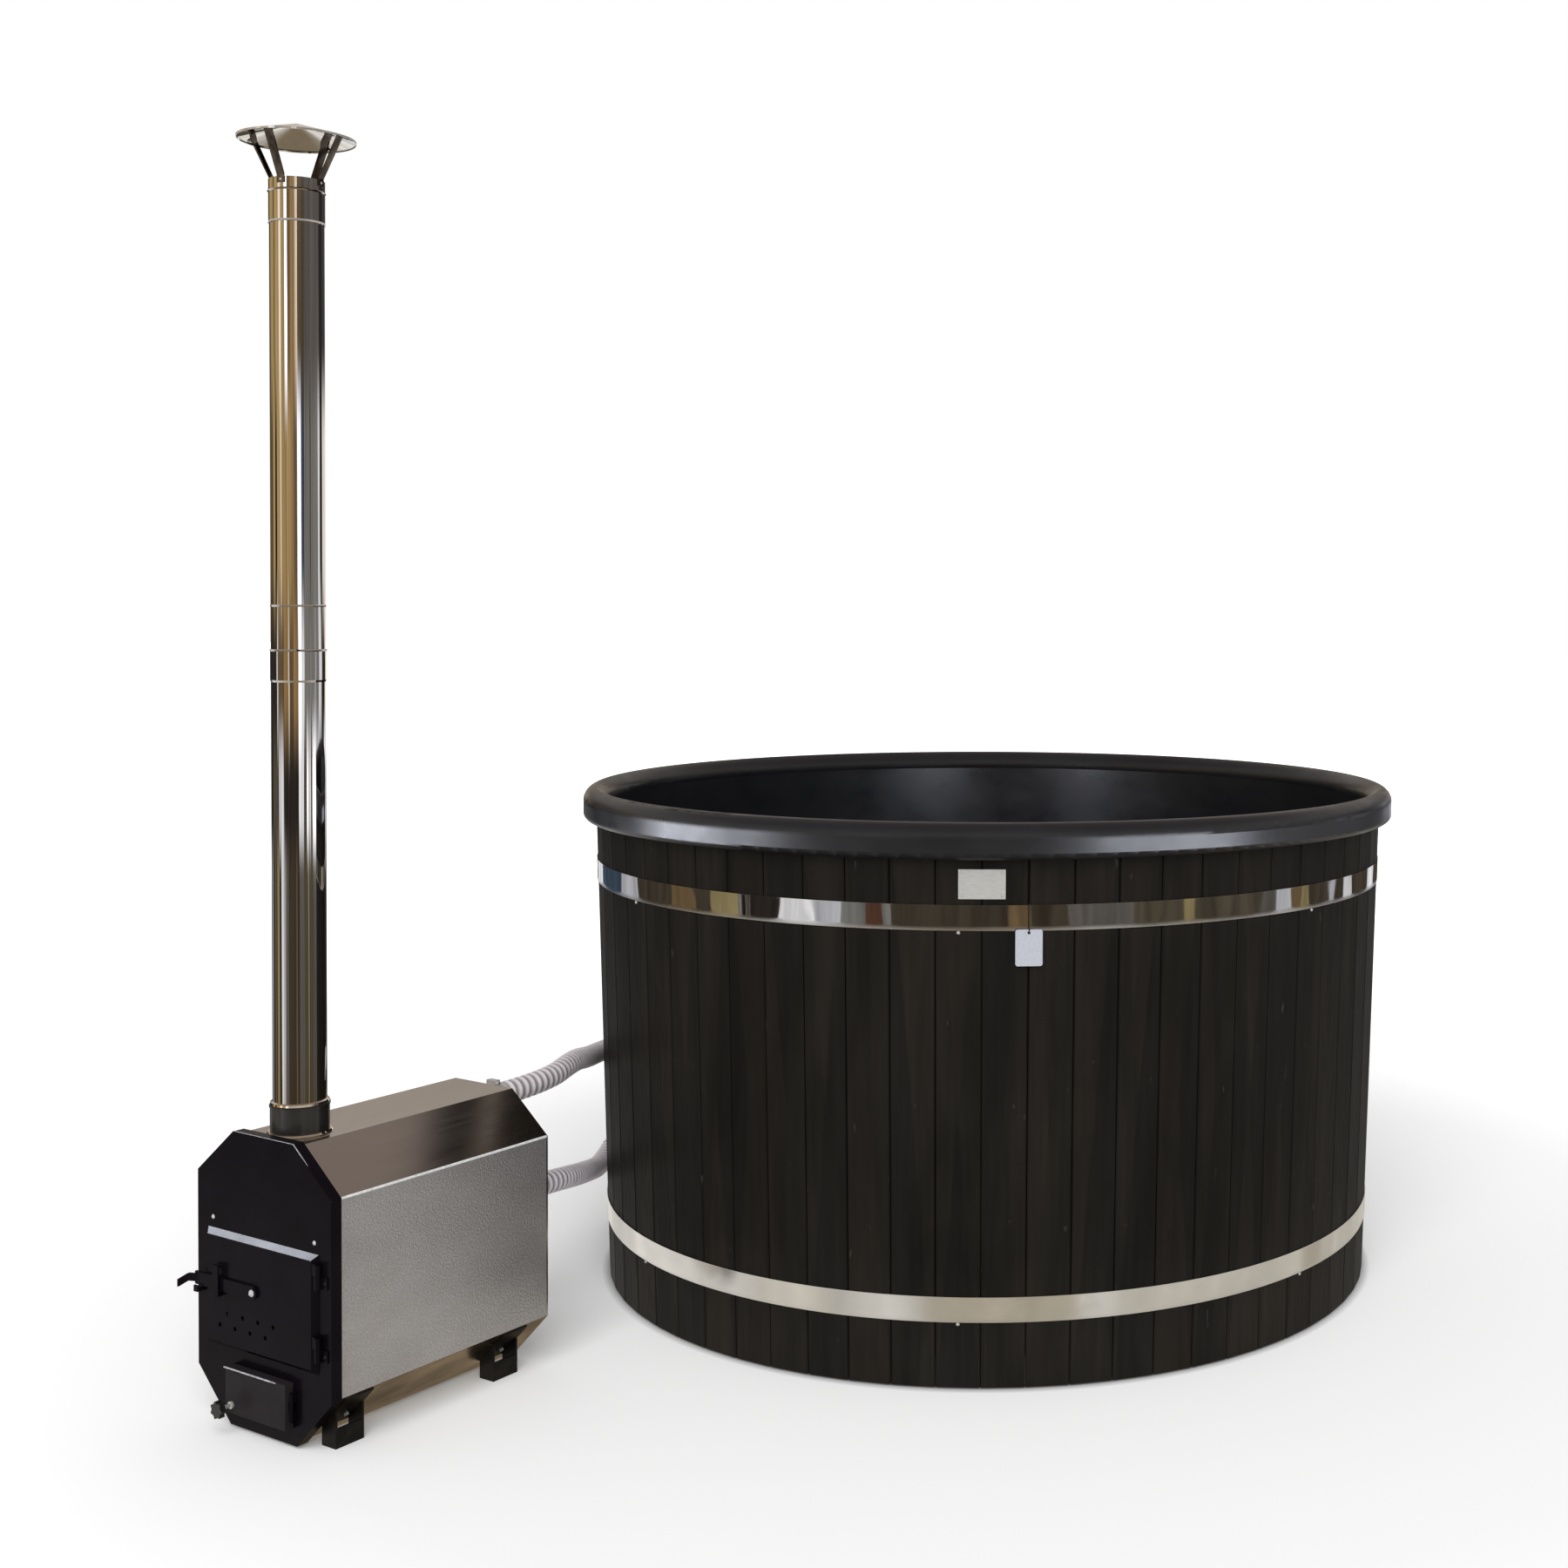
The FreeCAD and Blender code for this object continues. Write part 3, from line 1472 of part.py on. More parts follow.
def ash_hinge_bore():
    return rod(
        ash_hinge_axis(ash_hinge_bottom - 1.0), (0, 0, 1), ash_hinge_pin_radius + pin_clearance,
        ash_hinge_length + 2.0,
    )


def make_ash_door_knuckle():
    """Middle knuckle, carried by the door's side."""
    third = ash_hinge_length / 3.0
    low = ash_hinge_bottom + third + hinge_split_gap
    height = third - 2.0 * hinge_split_gap
    axis = ash_hinge_axis(low)
    v = axis.y - stove_front_y
    barrel = rod(axis, (0, 0, 1), ash_hinge_radius, height)
    half_leaf = hinge_leaf_thickness / 2.0
    leaf = stove_box(
        (ash_door_half_width, v - half_leaf, low),
        (ash_door_half_width + ash_hinge_offset, v + half_leaf, low + height),
    )
    return fuse([barrel, leaf]).cut(ash_hinge_bore())


def make_ash_plate_knuckles():
    """Lower and upper knuckles, each on an arm from the front plate."""
    third = ash_hinge_length / 3.0
    knuckles = []
    for low in (ash_hinge_bottom, ash_hinge_bottom + 2.0 * third):
        axis = ash_hinge_axis(low)
        v = axis.y - stove_front_y
        u = ash_door_half_width + ash_hinge_offset
        barrel = rod(axis, (0, 0, 1), ash_hinge_radius, third)
        arm = stove_box((u, v, low), (u + ash_hinge_radius, 0.0, low + third))
        knuckles.append(fuse([barrel, arm]).cut(ash_hinge_bore()))
    return Part.makeCompound(knuckles)


def make_ash_hinge_pin():
    pin = rod(ash_hinge_axis(ash_hinge_bottom), (0, 0, 1), ash_hinge_pin_radius, ash_hinge_length)
    head = rod(
        ash_hinge_axis(ash_hinge_bottom - hinge_pin_cap), (0, 0, 1), ash_hinge_radius * 0.8,
        hinge_pin_cap,
    )
    return fuse([pin, head])


def make_knob():
    """Lobed hand knob on the end of its shaft."""
    back = ash_door_face - knob_reach
    centre = stove_point(knob_u, back - knob_thickness, knob_z)
    core = rod(centre, (0, 1, 0), knob_radius - knob_lobe_radius, knob_thickness)
    lobes = []
    for k in range(knob_lobes):
        angle = 2.0 * math.pi * k / knob_lobes
        reach = knob_radius - knob_lobe_radius
        offset = Vector(reach * math.cos(angle), 0, reach * math.sin(angle))
        lobes.append(rod(centre + offset, (0, 1, 0), knob_lobe_radius, knob_thickness))
    hub = rod(stove_point(knob_u, back, knob_z), (0, 1, 0), knob_collar_radius, knob_collar_thickness)
    bore = rod(
        stove_point(knob_u, back - knob_thickness / 2.0, knob_z), (0, 1, 0), knob_shaft_radius,
        knob_thickness * 2.0,
    )
    return fuse([core] + lobes + [hub]).cut(bore)


def make_knob_shaft():
    """Shaft through the ash door's face: a collar outside, a nut inside and a locking tongue at its end."""
    start = stove_point(knob_u, ash_door_face - knob_reach - knob_thickness / 2.0, knob_z)
    inside = ash_door_face + ash_door_sheet
    tongue_front = front_plate_thickness + tongue_gap
    tongue_back = tongue_front + tongue_thickness
    shank = rod(start, (0, 1, 0), knob_shaft_radius, stove_front_y + tongue_back - start.y)
    collar_v = ash_door_face - seat_gap - knob_collar_thickness
    collar = rod(
        stove_point(knob_u, collar_v, knob_z), (0, 1, 0), knob_collar_radius, knob_collar_thickness,
    )
    nut = hexagon(
        stove_point(knob_u, inside + seat_gap, knob_z), (0, 1, 0), knob_collar_radius,
        knob_collar_thickness,
    )
    half = tongue_width / 2.0
    tongue = stove_box(
        (knob_u - half, tongue_front, knob_z - half),
        (knob_u + half, tongue_back, knob_z + tongue_length),
    )
    return fuse([shank, collar, nut, tongue])


# Stove ports and hoses

def make_spigot(z):
    """Pipe stub through the rear plate, with a shoulder that the hose butts against."""
    inner_v = casing_back - firebox_wall * 2.0
    tip = stove_length + spigot_shoulder_width + spigot_length
    stub = rod(stove_point(0, inner_v, z), (0, 1, 0), spigot_radius, tip - inner_v)
    shoulder = rod(
        stove_point(0, stove_length, z), (0, 1, 0), spigot_shoulder_radius, spigot_shoulder_width,
    )
    bore = rod(stove_point(0, inner_v - 1.0, z), (0, 1, 0), spigot_bore, tip - inner_v + 2.0)
    return fuse([stub, shoulder]).cut(bore)


def spigot_hose_end(z):
    return stove_point(0, stove_length + spigot_shoulder_width, z)


def hose_points(stove_z, tub_z, middles):
    """Route from the stove's spigot round the tub's wall to its elbow."""
    end = elbow_hose_end(tub_z)
    along = port_frame(tub_z)[2]
    approach = end + along * hose_last_run
    start = spigot_hose_end(stove_z)
    leave = start + Vector(0, hose_first_run, 0)
    round_wall = [polar(board_radius(z) + off, degrees, z) for degrees, off, z in middles]
    return [start, leave] + round_wall + [approach, end]


def route_pieces(points):
    """Straight runs and tangent arcs of a route: (kind, length, data) in order."""
    pieces = []
    radii = []
    here = points[0]
    for k in range(1, len(points) - 1):
        before = points[k] - points[k - 1]
        after = points[k + 1] - points[k]
        first = Vector(before).normalize()
        second = Vector(after).normalize()
        turn = first.getAngle(second)
        trim = 0.45 * min(before.Length, after.Length)
        radius = trim / math.tan(turn / 2.0)
        start = points[k] - first * trim
        pieces.append(("line", (start - here).Length, (here, first)))
        toward = (second - first * first.dot(second)).normalize()
        pieces.append(("arc", radius * turn, (start, first, toward, radius)))
        here = points[k] + second * trim
        radii.append(radius)
    last = Vector(points[-1] - here).normalize()
    pieces.append(("line", (points[-1] - here).Length, (here, last)))
    return pieces, radii


def route_at(pieces, distance):
    """Point and direction at a distance along a route."""
    for kind, length, data in pieces:
        if distance <= length or (kind, length, data) == pieces[-1]:
            break
        distance -= length
    if kind == "line":
        return data[0] + data[1] * distance, data[1]
    start, first, toward, radius = data
    angle = distance / radius
    point = start + first * (radius * math.sin(angle)) + toward * (radius * (1.0 - math.cos(angle)))
    return point, first * math.cos(angle) + toward * math.sin(angle)


def route_wire(pieces):
    edges = []
    for kind, length, data in pieces:
        start = data[0]
        if kind == "line":
            edges.append(Part.LineSegment(start, start + data[1] * length).toShape())
        else:
            middle = route_at([(kind, length, data)], length / 2.0)[0]
            end = route_at([(kind, length, data)], length)[0]
            edges.append(Part.Arc(start, middle, end).toShape())
    return Part.Wire(edges)


def ring_at(pieces, distance, radius):
    """Circle across the route, with its start point kept level so that the rings line up."""
    point, direction = route_at(pieces, distance)
    side = Vector(0, 0, 1).cross(direction).normalize()
    up = direction.cross(side)
    placement = FreeCAD.Placement(point, FreeCAD.Rotation(side, up, direction, "ZXY"))
    ring = Part.Circle(Vector(0, 0, 0), Vector(0, 0, 1), radius).toShape()
    ring.Placement = placement
    return Part.Wire([ring])


def make_hose(name, points):
    """Ribbed hose with its bore, and a plain cuff at each end."""
    pieces, radii = route_pieces(points)
    length = sum(piece[1] for piece in pieces)
    rib_count = int((length - 2.0 * hose_cuff_length) / hose_rib_pitch)
    pitch = (length - 2.0 * hose_cuff_length) / rib_count
    rings = [
        ring_at(pieces, 0.0, hose_cuff_radius),
        ring_at(pieces, hose_cuff_length - pitch * 0.1, hose_cuff_radius),
    ]
    for k in range(rib_count):
        start = hose_cuff_length + k * pitch
        for share, radius in (
            (0.05, hose_root_radius), (0.3, hose_outer_radius), (0.7, hose_outer_radius),
            (0.95, hose_root_radius),
        ):
            rings.append(ring_at(pieces, start + share * pitch, radius))
    rings.append(ring_at(pieces, length - hose_cuff_length + pitch * 0.1, hose_cuff_radius))
    rings.append(ring_at(pieces, length, hose_cuff_radius))
    body = Part.makeLoft(rings, True, True)
    bore = route_wire(pieces).makePipeShell([ring_at(pieces, 0.0, hose_bore_radius)], True, False)
    plain = math.pi * hose_bore_radius ** 2 * length
    share = bore.Volume / plain
    bends = [round(radius) for radius in radii]
    print(f"{name}: {length:.1f} mm, {rib_count} ribs, radii {bends}, bore {share:.4f} of plain")
    return body.cut(bore)


def clamp_spots():
    """Centre, hose direction and worm-box direction of each hose clamp."""
    spots = []
    for z in (upper_spigot_z, lower_spigot_z):
        spots.append((spigot_hose_end(z) + Vector(0, clamp_inset, 0), Vector(0, 1, 0), Vector(0, 0, 1)))
    for z in (upper_port_height, lower_port_height):
        along = port_frame(z)[2]
        spots.append((elbow_hose_end(z) + along * clamp_inset, along, Vector(0, 0, 1)))
    return spots


def make_clamps():
    """Worm-drive clamp on each end of each hose: a band, a worm box and its screw."""
    clamps = []
    inner = hose_cuff_radius + seat_gap / 2.0
    for centre, along, up in clamp_spots():
        side = along.cross(up)
        outer = inner + clamp_thickness
        band = pipe(centre, along, outer, inner, clamp_width)
        low = inner + clamp_thickness / 2.0
        corner = centre - side * (clamp_box_length / 2.0) + up * low + along * (
            (clamp_width - clamp_box_width) / 2.0
        )
        wire = Part.makePolygon([
            corner, corner + side * clamp_box_length,
            corner + side * clamp_box_length + along * clamp_box_width,
            corner + along * clamp_box_width, corner,
        ])
        worm_box = Part.Face(wire).extrude(up * (clamp_box_height - low + inner))
        worm_box = worm_box.cut(rod(centre - along * clamp_width, along, inner, clamp_width * 3.0))
        axis = centre + along * (clamp_width / 2.0) + up * (inner + clamp_box_height / 2.0)
        screw = hexagon(
            axis + side * (clamp_box_length / 2.0), side, clamp_screw_radius * 1.3,
            clamp_screw_radius * 1.6,
        )
        clamps.append(fuse([band, worm_box, screw]))
    return Part.makeCompound(clamps)


export("tub_floor", make_tub_floor())
export("tub_wall", make_tub_wall())
export("tub_rim", make_tub_rim())
export("cladding_staves", make_staves())
export("base_bearers", make_bearers())
export("lower_hoop", make_hoop(lower_hoop_height))
export("upper_hoop", make_hoop(upper_hoop_height))
export("hoop_tension_bolts", make_hoop_bolts())
export("hoop_rest_screws", make_rest_screws())
export("nameplate", make_nameplate())
export("nameplate_screws", make_plate_screws())
export("hang_tag", make_tag())
export("hang_tag_tie", make_tag_tie())
export("tub_elbows", Part.makeCompound([make_elbow(z) for z in (upper_port_height, lower_port_height)]))
export("elbow_nuts", make_port_nuts())
export(
    "wall_strainers",
    Part.makeCompound([make_wall_flange(z) for z in (upper_port_height, lower_port_height)]),
)
export("drain_fitting", make_drain())
export("drain_plug", make_plug())

export("front_plate", make_front_plate())
export("rear_plate", make_rear_plate())
export("casing_top", make_casing_top())
export("casing_bottom", make_casing_bottom())
export("side_panel_left", make_side_panel(-1.0))
export("side_panel_right", make_side_panel(1.0))
export("water_jacket", make_jacket())
export("firebox", make_firebox())
export("fire_grate", make_grate())
export("smoke_baffle", make_baffle())

export("flue_collar", make_collar())
export("collar_weld_ring", make_collar_ring())
export("lower_flue_pipe", make_lower_flue())
export("upper_flue_pipe", make_upper_flue())
export("cap_sleeve", make_cap_sleeve())
export("cap_straps", make_straps())
export("cap_rivets", make_rivets())
export("rain_cap", make_rain_cap())

for feet_name, foot_v in zip(("front_feet", "rear_feet"), foot_depths()):
    export(feet_name, Part.makeCompound([make_foot(side, foot_v) for side in (-1.0, 1.0)]))
export("foot_bolts", make_foot_bolts())

export("fire_door", make_fire_door())
export("fire_door_gasket", make_gasket())
export("fire_door_shield", make_heat_shield())
export("door_knuckles", make_door_knuckles())
export("plate_knuckles", make_plate_knuckles())
export("hinge_pins", make_hinge_pins())
export("front_screws", make_front_screws())
export("latch_bar", make_latch_bar())
export("latch_bolt", make_latch_bolt())
export("latch_guide", make_latch_guide())
export("latch_catch", make_latch_catch())
export("ash_door", make_ash_door())
export("ash_door_knuckle", make_ash_door_knuckle())
export("ash_plate_knuckles", make_ash_plate_knuckles())
export("ash_hinge_pin", make_ash_hinge_pin())
export("ash_knob", make_knob())
export("ash_knob_shaft", make_knob_shaft())

export("stove_spigots", Part.makeCompound([make_spigot(z) for z in (upper_spigot_z, lower_spigot_z)]))
export(
    "upper_hose",
    make_hose("upper_hose", hose_points(upper_spigot_z, upper_port_height, upper_hose_middles)),
)
export(
    "lower_hose",
    make_hose("lower_hose", hose_points(lower_spigot_z, lower_port_height, lower_hose_middles)),
)
export("hose_clamps", make_clamps())
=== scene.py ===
"""Looks of the wood-burning hot tub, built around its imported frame. Metres, +Z up."""
import json
import math

import bpy
from mathutils import Matrix, Vector


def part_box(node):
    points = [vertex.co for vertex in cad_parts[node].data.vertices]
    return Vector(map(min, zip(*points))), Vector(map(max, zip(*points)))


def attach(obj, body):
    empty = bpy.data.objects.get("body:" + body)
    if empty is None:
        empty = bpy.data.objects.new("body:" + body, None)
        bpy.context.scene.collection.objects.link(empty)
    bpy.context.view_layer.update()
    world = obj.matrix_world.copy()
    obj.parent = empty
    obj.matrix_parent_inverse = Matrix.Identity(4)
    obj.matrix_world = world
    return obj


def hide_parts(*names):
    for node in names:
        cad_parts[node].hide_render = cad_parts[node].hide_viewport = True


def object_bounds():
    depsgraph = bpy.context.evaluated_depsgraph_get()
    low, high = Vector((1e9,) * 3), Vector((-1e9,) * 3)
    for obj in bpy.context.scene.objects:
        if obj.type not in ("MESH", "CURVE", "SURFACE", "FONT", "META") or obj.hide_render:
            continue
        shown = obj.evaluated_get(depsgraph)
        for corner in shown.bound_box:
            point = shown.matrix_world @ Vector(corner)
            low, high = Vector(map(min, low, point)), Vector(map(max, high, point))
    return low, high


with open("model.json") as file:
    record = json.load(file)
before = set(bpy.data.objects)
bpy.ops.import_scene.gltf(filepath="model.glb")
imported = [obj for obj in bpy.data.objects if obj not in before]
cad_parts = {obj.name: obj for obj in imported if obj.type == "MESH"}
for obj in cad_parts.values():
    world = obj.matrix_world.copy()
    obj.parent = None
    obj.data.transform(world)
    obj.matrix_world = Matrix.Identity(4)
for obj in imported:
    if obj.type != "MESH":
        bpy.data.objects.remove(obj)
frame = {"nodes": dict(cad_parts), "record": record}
cad_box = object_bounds()
nodes = frame["nodes"]
ROOT = "tub_and_stove"

# Camera, fitted to the photograph's 1800 x 1800 frame
CAMERA_PLACE = (2.7228, -4.1343, 1.5975)
CAMERA_AZIMUTH = 32.0
CAMERA_PITCH = -1.304
CAMERA_ROLL = 0.278
CAMERA_LENS = 46.02
CAMERA_SENSOR = 36.0
CAMERA_SHIFT = (-0.162, -0.0868)

# Hose sizes and routes, the same points as the solids'
HOSE_RADIUS = 0.0255
HOSE_ROOT = 0.0226
HOSE_CUFF = 0.0238
HOSE_BORE = 0.020
HOSE_CUFF_LENGTH = 0.048
HOSE_PITCH = 0.020
HOSE_SIDES = 40
HOSE_STEPS = 12
HOSE_CREST_POWER = 0.8
ROUTE_RESOLUTION = 60
UPPER_ROUTE = (
    (-0.5230, -1.1500, 0.5350), (-0.5230, -0.9820, 0.5350), (-0.6123, -0.8035, 0.5400),
    (-0.7357, -0.6407, 0.4980), (-0.8504, -0.4823, 0.4670), (-0.9247, -0.3368, 0.4508),
    (-0.9468, -0.2240, 0.4508),
)
LOWER_ROUTE = (
    (-0.5230, -1.1500, 0.3120), (-0.5230, -0.9820, 0.3120), (-0.6061, -0.8061, 0.2740),
    (-0.7247, -0.6487, 0.2270), (-0.8554, -0.4703, 0.1770), (-0.9181, -0.3356, 0.2208),
    (-0.9402, -0.2227, 0.2208),
)

# Even light from all round, and a soft main light from the front
AMBIENT = 0.52
KEY_STRENGTH = 2.3
KEY_AZIMUTH = 302.0
KEY_ELEVATION = 40.0
KEY_SPREAD = 50.0

# Bright panels for single parts: a window that the fire door mirrors, and a fill for the lower hose
COOL = (0.86, 0.89, 1.0)
DOOR_WINDOW = {"place": (-2.85, -2.6, 2.1), "target": (-0.55, -1.7, 0.4), "size": (1.8, 0.7), "power": 170.0}
HOSE_FILL = {"place": (1.2, -3.0, 0.7), "target": (-0.6, -0.9, 0.3), "size": (1.0, 0.6), "power": 45.0}

# Windows round the tub: name, part that mirrors it, azimuth, distance, height, size, power
TUB_WINDOW_TARGET = (0.0, 0.0, 1.1)
TUB_WINDOWS = (
    ("rim_window_left", "tub_rim", 230.0, 4.0, 0.6, (2.7, 1.1), 125.0),
    ("rim_window_right", "tub_rim", 348.0, 4.0, 0.6, (2.7, 1.1), 110.0),
    ("wall_window_left", "tub_wall", 266.0, 4.5, 1.9, (1.4, 1.6), 70.0),
    ("wall_window_right", "tub_wall", 324.0, 4.5, 1.9, (1.4, 1.6), 70.0),
)

# The floor: a painted shadow inside the boards' foot, pale beside it, glowing white far away. Radii from the
# tub's axis
FLOOR_HALF = 60.0
FLOOR_SPAN = 10.0
FOOT_RADIUS = 0.917
FOOT_BLEND = 0.004
GLOW_START = 1.8
GLOW_END = 6.0
FLOOR_PAINTED_SHADOW = 0.02
FLOOR_PALE = 0.90
GLOW_NEAR = 0.10
GLOW_FAR = 0.8

# Shares of the object's height: where the painted screw heads end, and where the painted bounce light on the
# boards' foot thins out
SCREW_PAINT_HEIGHT = 0.154
BOUNCE_LIGHT_FULL = 0.035
BOUNCE_LIGHT_END = 0.11

# Width and roughness of the dull cut edges of the hoops
CUT_EDGE = 0.0018
CUT_EDGE_ROUGHNESS = 0.28

# Bright edges: strips along folded sheet and painted edges, pale as painted highlights
FOLD_RADIUS = 0.0027
FOLD_SINK = 0.0006
EDGE_RADIUS = 0.0016
STOVE_TOP_HALF = 0.088
LIP_SHARE = 0.86

# The room that polished surfaces mirror: tones, and where each stretch of wall starts (degrees from +X)
DIM = (0.028, 0.023, 0.020)
SHADE = (0.082, 0.070, 0.050)
UMBER = (0.055, 0.044, 0.032)
DUSK = (0.115, 0.105, 0.095)
GREY = (0.20, 0.195, 0.185)
LIGHT = (0.45, 0.46, 0.50)
PALE = (0.80, 0.80, 0.83)
BRIGHT = (1.60, 1.60, 1.70)
WARM = (0.98, 0.86, 0.72)
GOLD = (0.47, 0.33, 0.145)
STRAW = (0.29, 0.235, 0.12)
OCHRE = (0.32, 0.20, 0.085)
BRONZE = (0.14, 0.095, 0.050)
RUST = (0.115, 0.056, 0.036)
BLUE = (0.045, 0.066, 0.098)
DEEP = (0.21, 0.165, 0.11)
FLOOR = (0.45, 0.405, 0.32)
PALE_FLOOR = (0.60, 0.565, 0.495)
BRIGHT_FLOOR = (0.78, 0.755, 0.71)
UPPER_WALL = (0.545, 0.50, 0.46)
CEILING = (0.30, 0.255, 0.23)
GROUND = (
    (0, PALE_FLOOR), (50, FLOOR), (60, PALE_FLOOR), (130, BRIGHT_FLOOR), (230, PALE_FLOOR),
    (262, BRIGHT_FLOOR), (283, FLOOR), (330, BRIGHT_FLOOR), (338, PALE_FLOOR),
)
BASE_WALL = (
    (0, STRAW), (4, SHADE), (24, DUSK), (31, LIGHT), (37, BRONZE), (41, STRAW), (46, UMBER), (55, LIGHT),
    (58, UMBER), (66, PALE), (69, UMBER), (88, PALE), (96, UMBER), (112, SHADE), (140, PALE), (152, BLUE),
    (174, LIGHT), (184, UMBER), (203, BRONZE), (212, UMBER), (218, STRAW), (231, DIM), (243, PALE),
    (252, LIGHT), (261, GREY), (269, RUST), (273, GREY), (277, UMBER), (308, BRONZE), (314, UMBER),
    (324, DUSK), (343, SHADE),
)
LOW_WALL = (
    (0, PALE), (14, SHADE), (20, BRIGHT), (40, PALE), (58, BLUE), (92, BRIGHT), (112, SHADE), (150, DIM),
    (190, SHADE), (231, PALE), (256, DIM), (322, PALE), (343, SHADE), (355, BRIGHT),
)
MIDDLE_WALL = (
    (0, GREY), (30, PALE), (44, GREY), (55, PALE), (74, DIM), (104, WARM), (150, DIM), (222, PALE),
    (228, BRONZE), (260, OCHRE), (279, WARM), (285, BRONZE), (302, OCHRE), (321, BRIGHT), (334, PALE),
    (346, GREY),
)
HIGH_WALL = (
    (0, GREY), (12, SHADE), (18, GREY), (34, SHADE), (44, GREY), (54, PALE), (66, DIM), (84, PALE),
    (96, WARM), (150, BRONZE), (200, GOLD), (214, DIM), (226, GOLD), (246, WARM), (250, GOLD),
    (268, OCHRE), (275, GOLD), (292, OCHRE), (303, BRONZE), (319, BRIGHT), (336, BLUE), (348, GREY),
)
TOP_WALL = (
    (0, DUSK), (62, DIM), (88, BLUE), (98, DIM), (106, BRONZE), (150, SHADE), (178, GOLD), (207, DIM),
    (213, GOLD), (239, WARM), (250, GOLD), (267, BRIGHT), (279, BRONZE), (290, OCHRE), (311, WARM),
    (321, BRONZE), (337, SHADE), (350, DUSK),
)

# Heights in the room, from -1 straight down to 1 straight up, between which one band passes into the next
DEEP_STEP = (-0.66, -0.46)
GROUND_STEP = (-0.28, -0.25)
WALL_STEPS = (
    (-0.13, -0.10, LOW_WALL), (-0.085, -0.045, MIDDLE_WALL), (-0.03, 0.02, HIGH_WALL), (0.07, 0.12, TOP_WALL),
)
UPPER_STEP = (0.19, 0.23)
CEILING_STEP = (0.52, 0.68)

# Upright streaks over the room's walls: scale, span of the noise, and the factors that it gives
STREAK_SCALE = (16.0, 16.0, 4.0)
STREAK_SPAN = (0.32, 0.68)
STREAK_FACTORS = (0.60, 1.30)


# Node helpers

class Graph:
    """Adds and links the nodes of one tree, with coords as the place that its textures read."""

    def __init__(self, tree, place):
        self.tree = tree
        self.coords = self.node("TexCoord").outputs[place]

    def link(self, output, socket):
        self.tree.links.new(output, socket)

    def node(self, kind, **settings):
        node = self.tree.nodes.new("ShaderNode" + kind)
        for key, value in settings.items():
            setattr(node, key, value)
        return node

    def fill(self, socket, value):
        """Give a socket a number, a colour or a link."""
        if isinstance(value, float):
            socket.default_value = value
        elif isinstance(value, tuple):
            socket.default_value = (*value, 1.0)
        else:
            self.link(value, socket)

    def noise(self, scale, detail=4.0, rough=0.55, distortion=0.0):
        node = self.node("TexNoise")
        self.link(self.stretched(scale), node.inputs["Vector"])
        node.inputs["Scale"].default_value = 1.0
        node.inputs["Detail"].default_value = detail
        node.inputs["Roughness"].default_value = rough
        node.inputs["Distortion"].default_value = distortion
        return node.outputs["Fac"]

    def stretched(self, scale):
        mapping = self.node("Mapping")
        self.link(self.coords, mapping.inputs["Vector"])
        mapping.inputs["Scale"].default_value = scale
        return mapping.outputs["Vector"]

    def split(self):
        node = self.node("SeparateXYZ")
        self.link(self.coords, node.inputs["Vector"])
        return node.outputs

    def ramp(self, value, stops, interpolation="LINEAR"):
        node = self.node("ValToRGB")
        self.link(value, node.inputs["Fac"])
        node.color_ramp.interpolation = interpolation
        elements = node.color_ramp.elements
        while len(elements) < len(stops):
            elements.new(1.0)
        for element, (place, colour) in zip(elements, stops):
            element.position = place
            shade = colour if isinstance(colour, tuple) else (colour, colour, colour)
            element.color = (*shade, 1.0)
        return node.outputs["Color"]

    def spread(self, value, span, interpolation="LINEAR", result=(0.0, 1.0)):
        """Map a span of a value onto another."""
        node = self.node("MapRange", interpolation_type=interpolation)
        self.link(value, node.inputs["Value"])
        node.inputs["From Min"].default_value, node.inputs["From Max"].default_value = span
        node.inputs["To Min"].default_value, node.inputs["To Max"].default_value = result
        return node.outputs["Result"]

    def math(self, operation, first, second):
        node = self.node("Math", operation=operation)
        for socket, value in zip(node.inputs, (first, second)):
            self.fill(socket, value)
        return node.outputs["Value"]

    def mix(self, factor, first, second, blend="MIX"):
        node = self.node("Mix", data_type="RGBA", blend_type=blend)
        for socket, value in ((node.inputs[0], factor), (node.inputs[6], first), (node.inputs[7], second)):
            self.fill(socket, value)
        return node.outputs[2]


class Shader(Graph):
    """One Principled material and the few node chains that the finishes share."""

    def __init__(self, name, **values):
        self.material = bpy.data.materials.new(name)
        self.material.use_nodes = True
        super().__init__(self.material.node_tree, "Object")
        self.bsdf = self.tree.nodes["Principled BSDF"]
        for key, value in values.items():
            self.bsdf.inputs[key.replace("_", " ").title().replace("Ior", "IOR")].default_value = value

    def cells(self, scale):
        node = self.node("TexVoronoi", feature="SMOOTH_F1")
        self.link(self.stretched(scale), node.inputs["Vector"])
        node.inputs["Scale"].default_value = 1.0
        return node.outputs["Distance"]

    def height(self):
        """Height above the floor as a share of the object's."""
        return self.math("MULTIPLY", self.split()["Z"], 1.0 / cad_box[1][2])

    def attribute(self, name):
        return self.node("Attribute", attribute_name=name).outputs["Fac"]

    def island(self):
        return self.node("NewGeometry").outputs["Random Per Island"]

    def colour(self, output):
        self.link(output, self.bsdf.inputs["Base Color"])

    def roughness(self, value, low, high):
        self.link(self.ramp(value, ((0.25, low), (0.75, high))), self.bsdf.inputs["Roughness"])

    def bump(self, height, strength, distance):
        node = self.node("Bump")
        node.inputs["Strength"].default_value = strength
        node.inputs["Distance"].default_value = distance
        self.link(height, node.inputs["Height"])
        previous = self.bsdf.inputs["Normal"].links
        if previous:
            self.link(previous[0].from_socket, node.inputs["Normal"])
        self.link(node.outputs["Normal"], self.bsdf.inputs["Normal"])


# Finishes

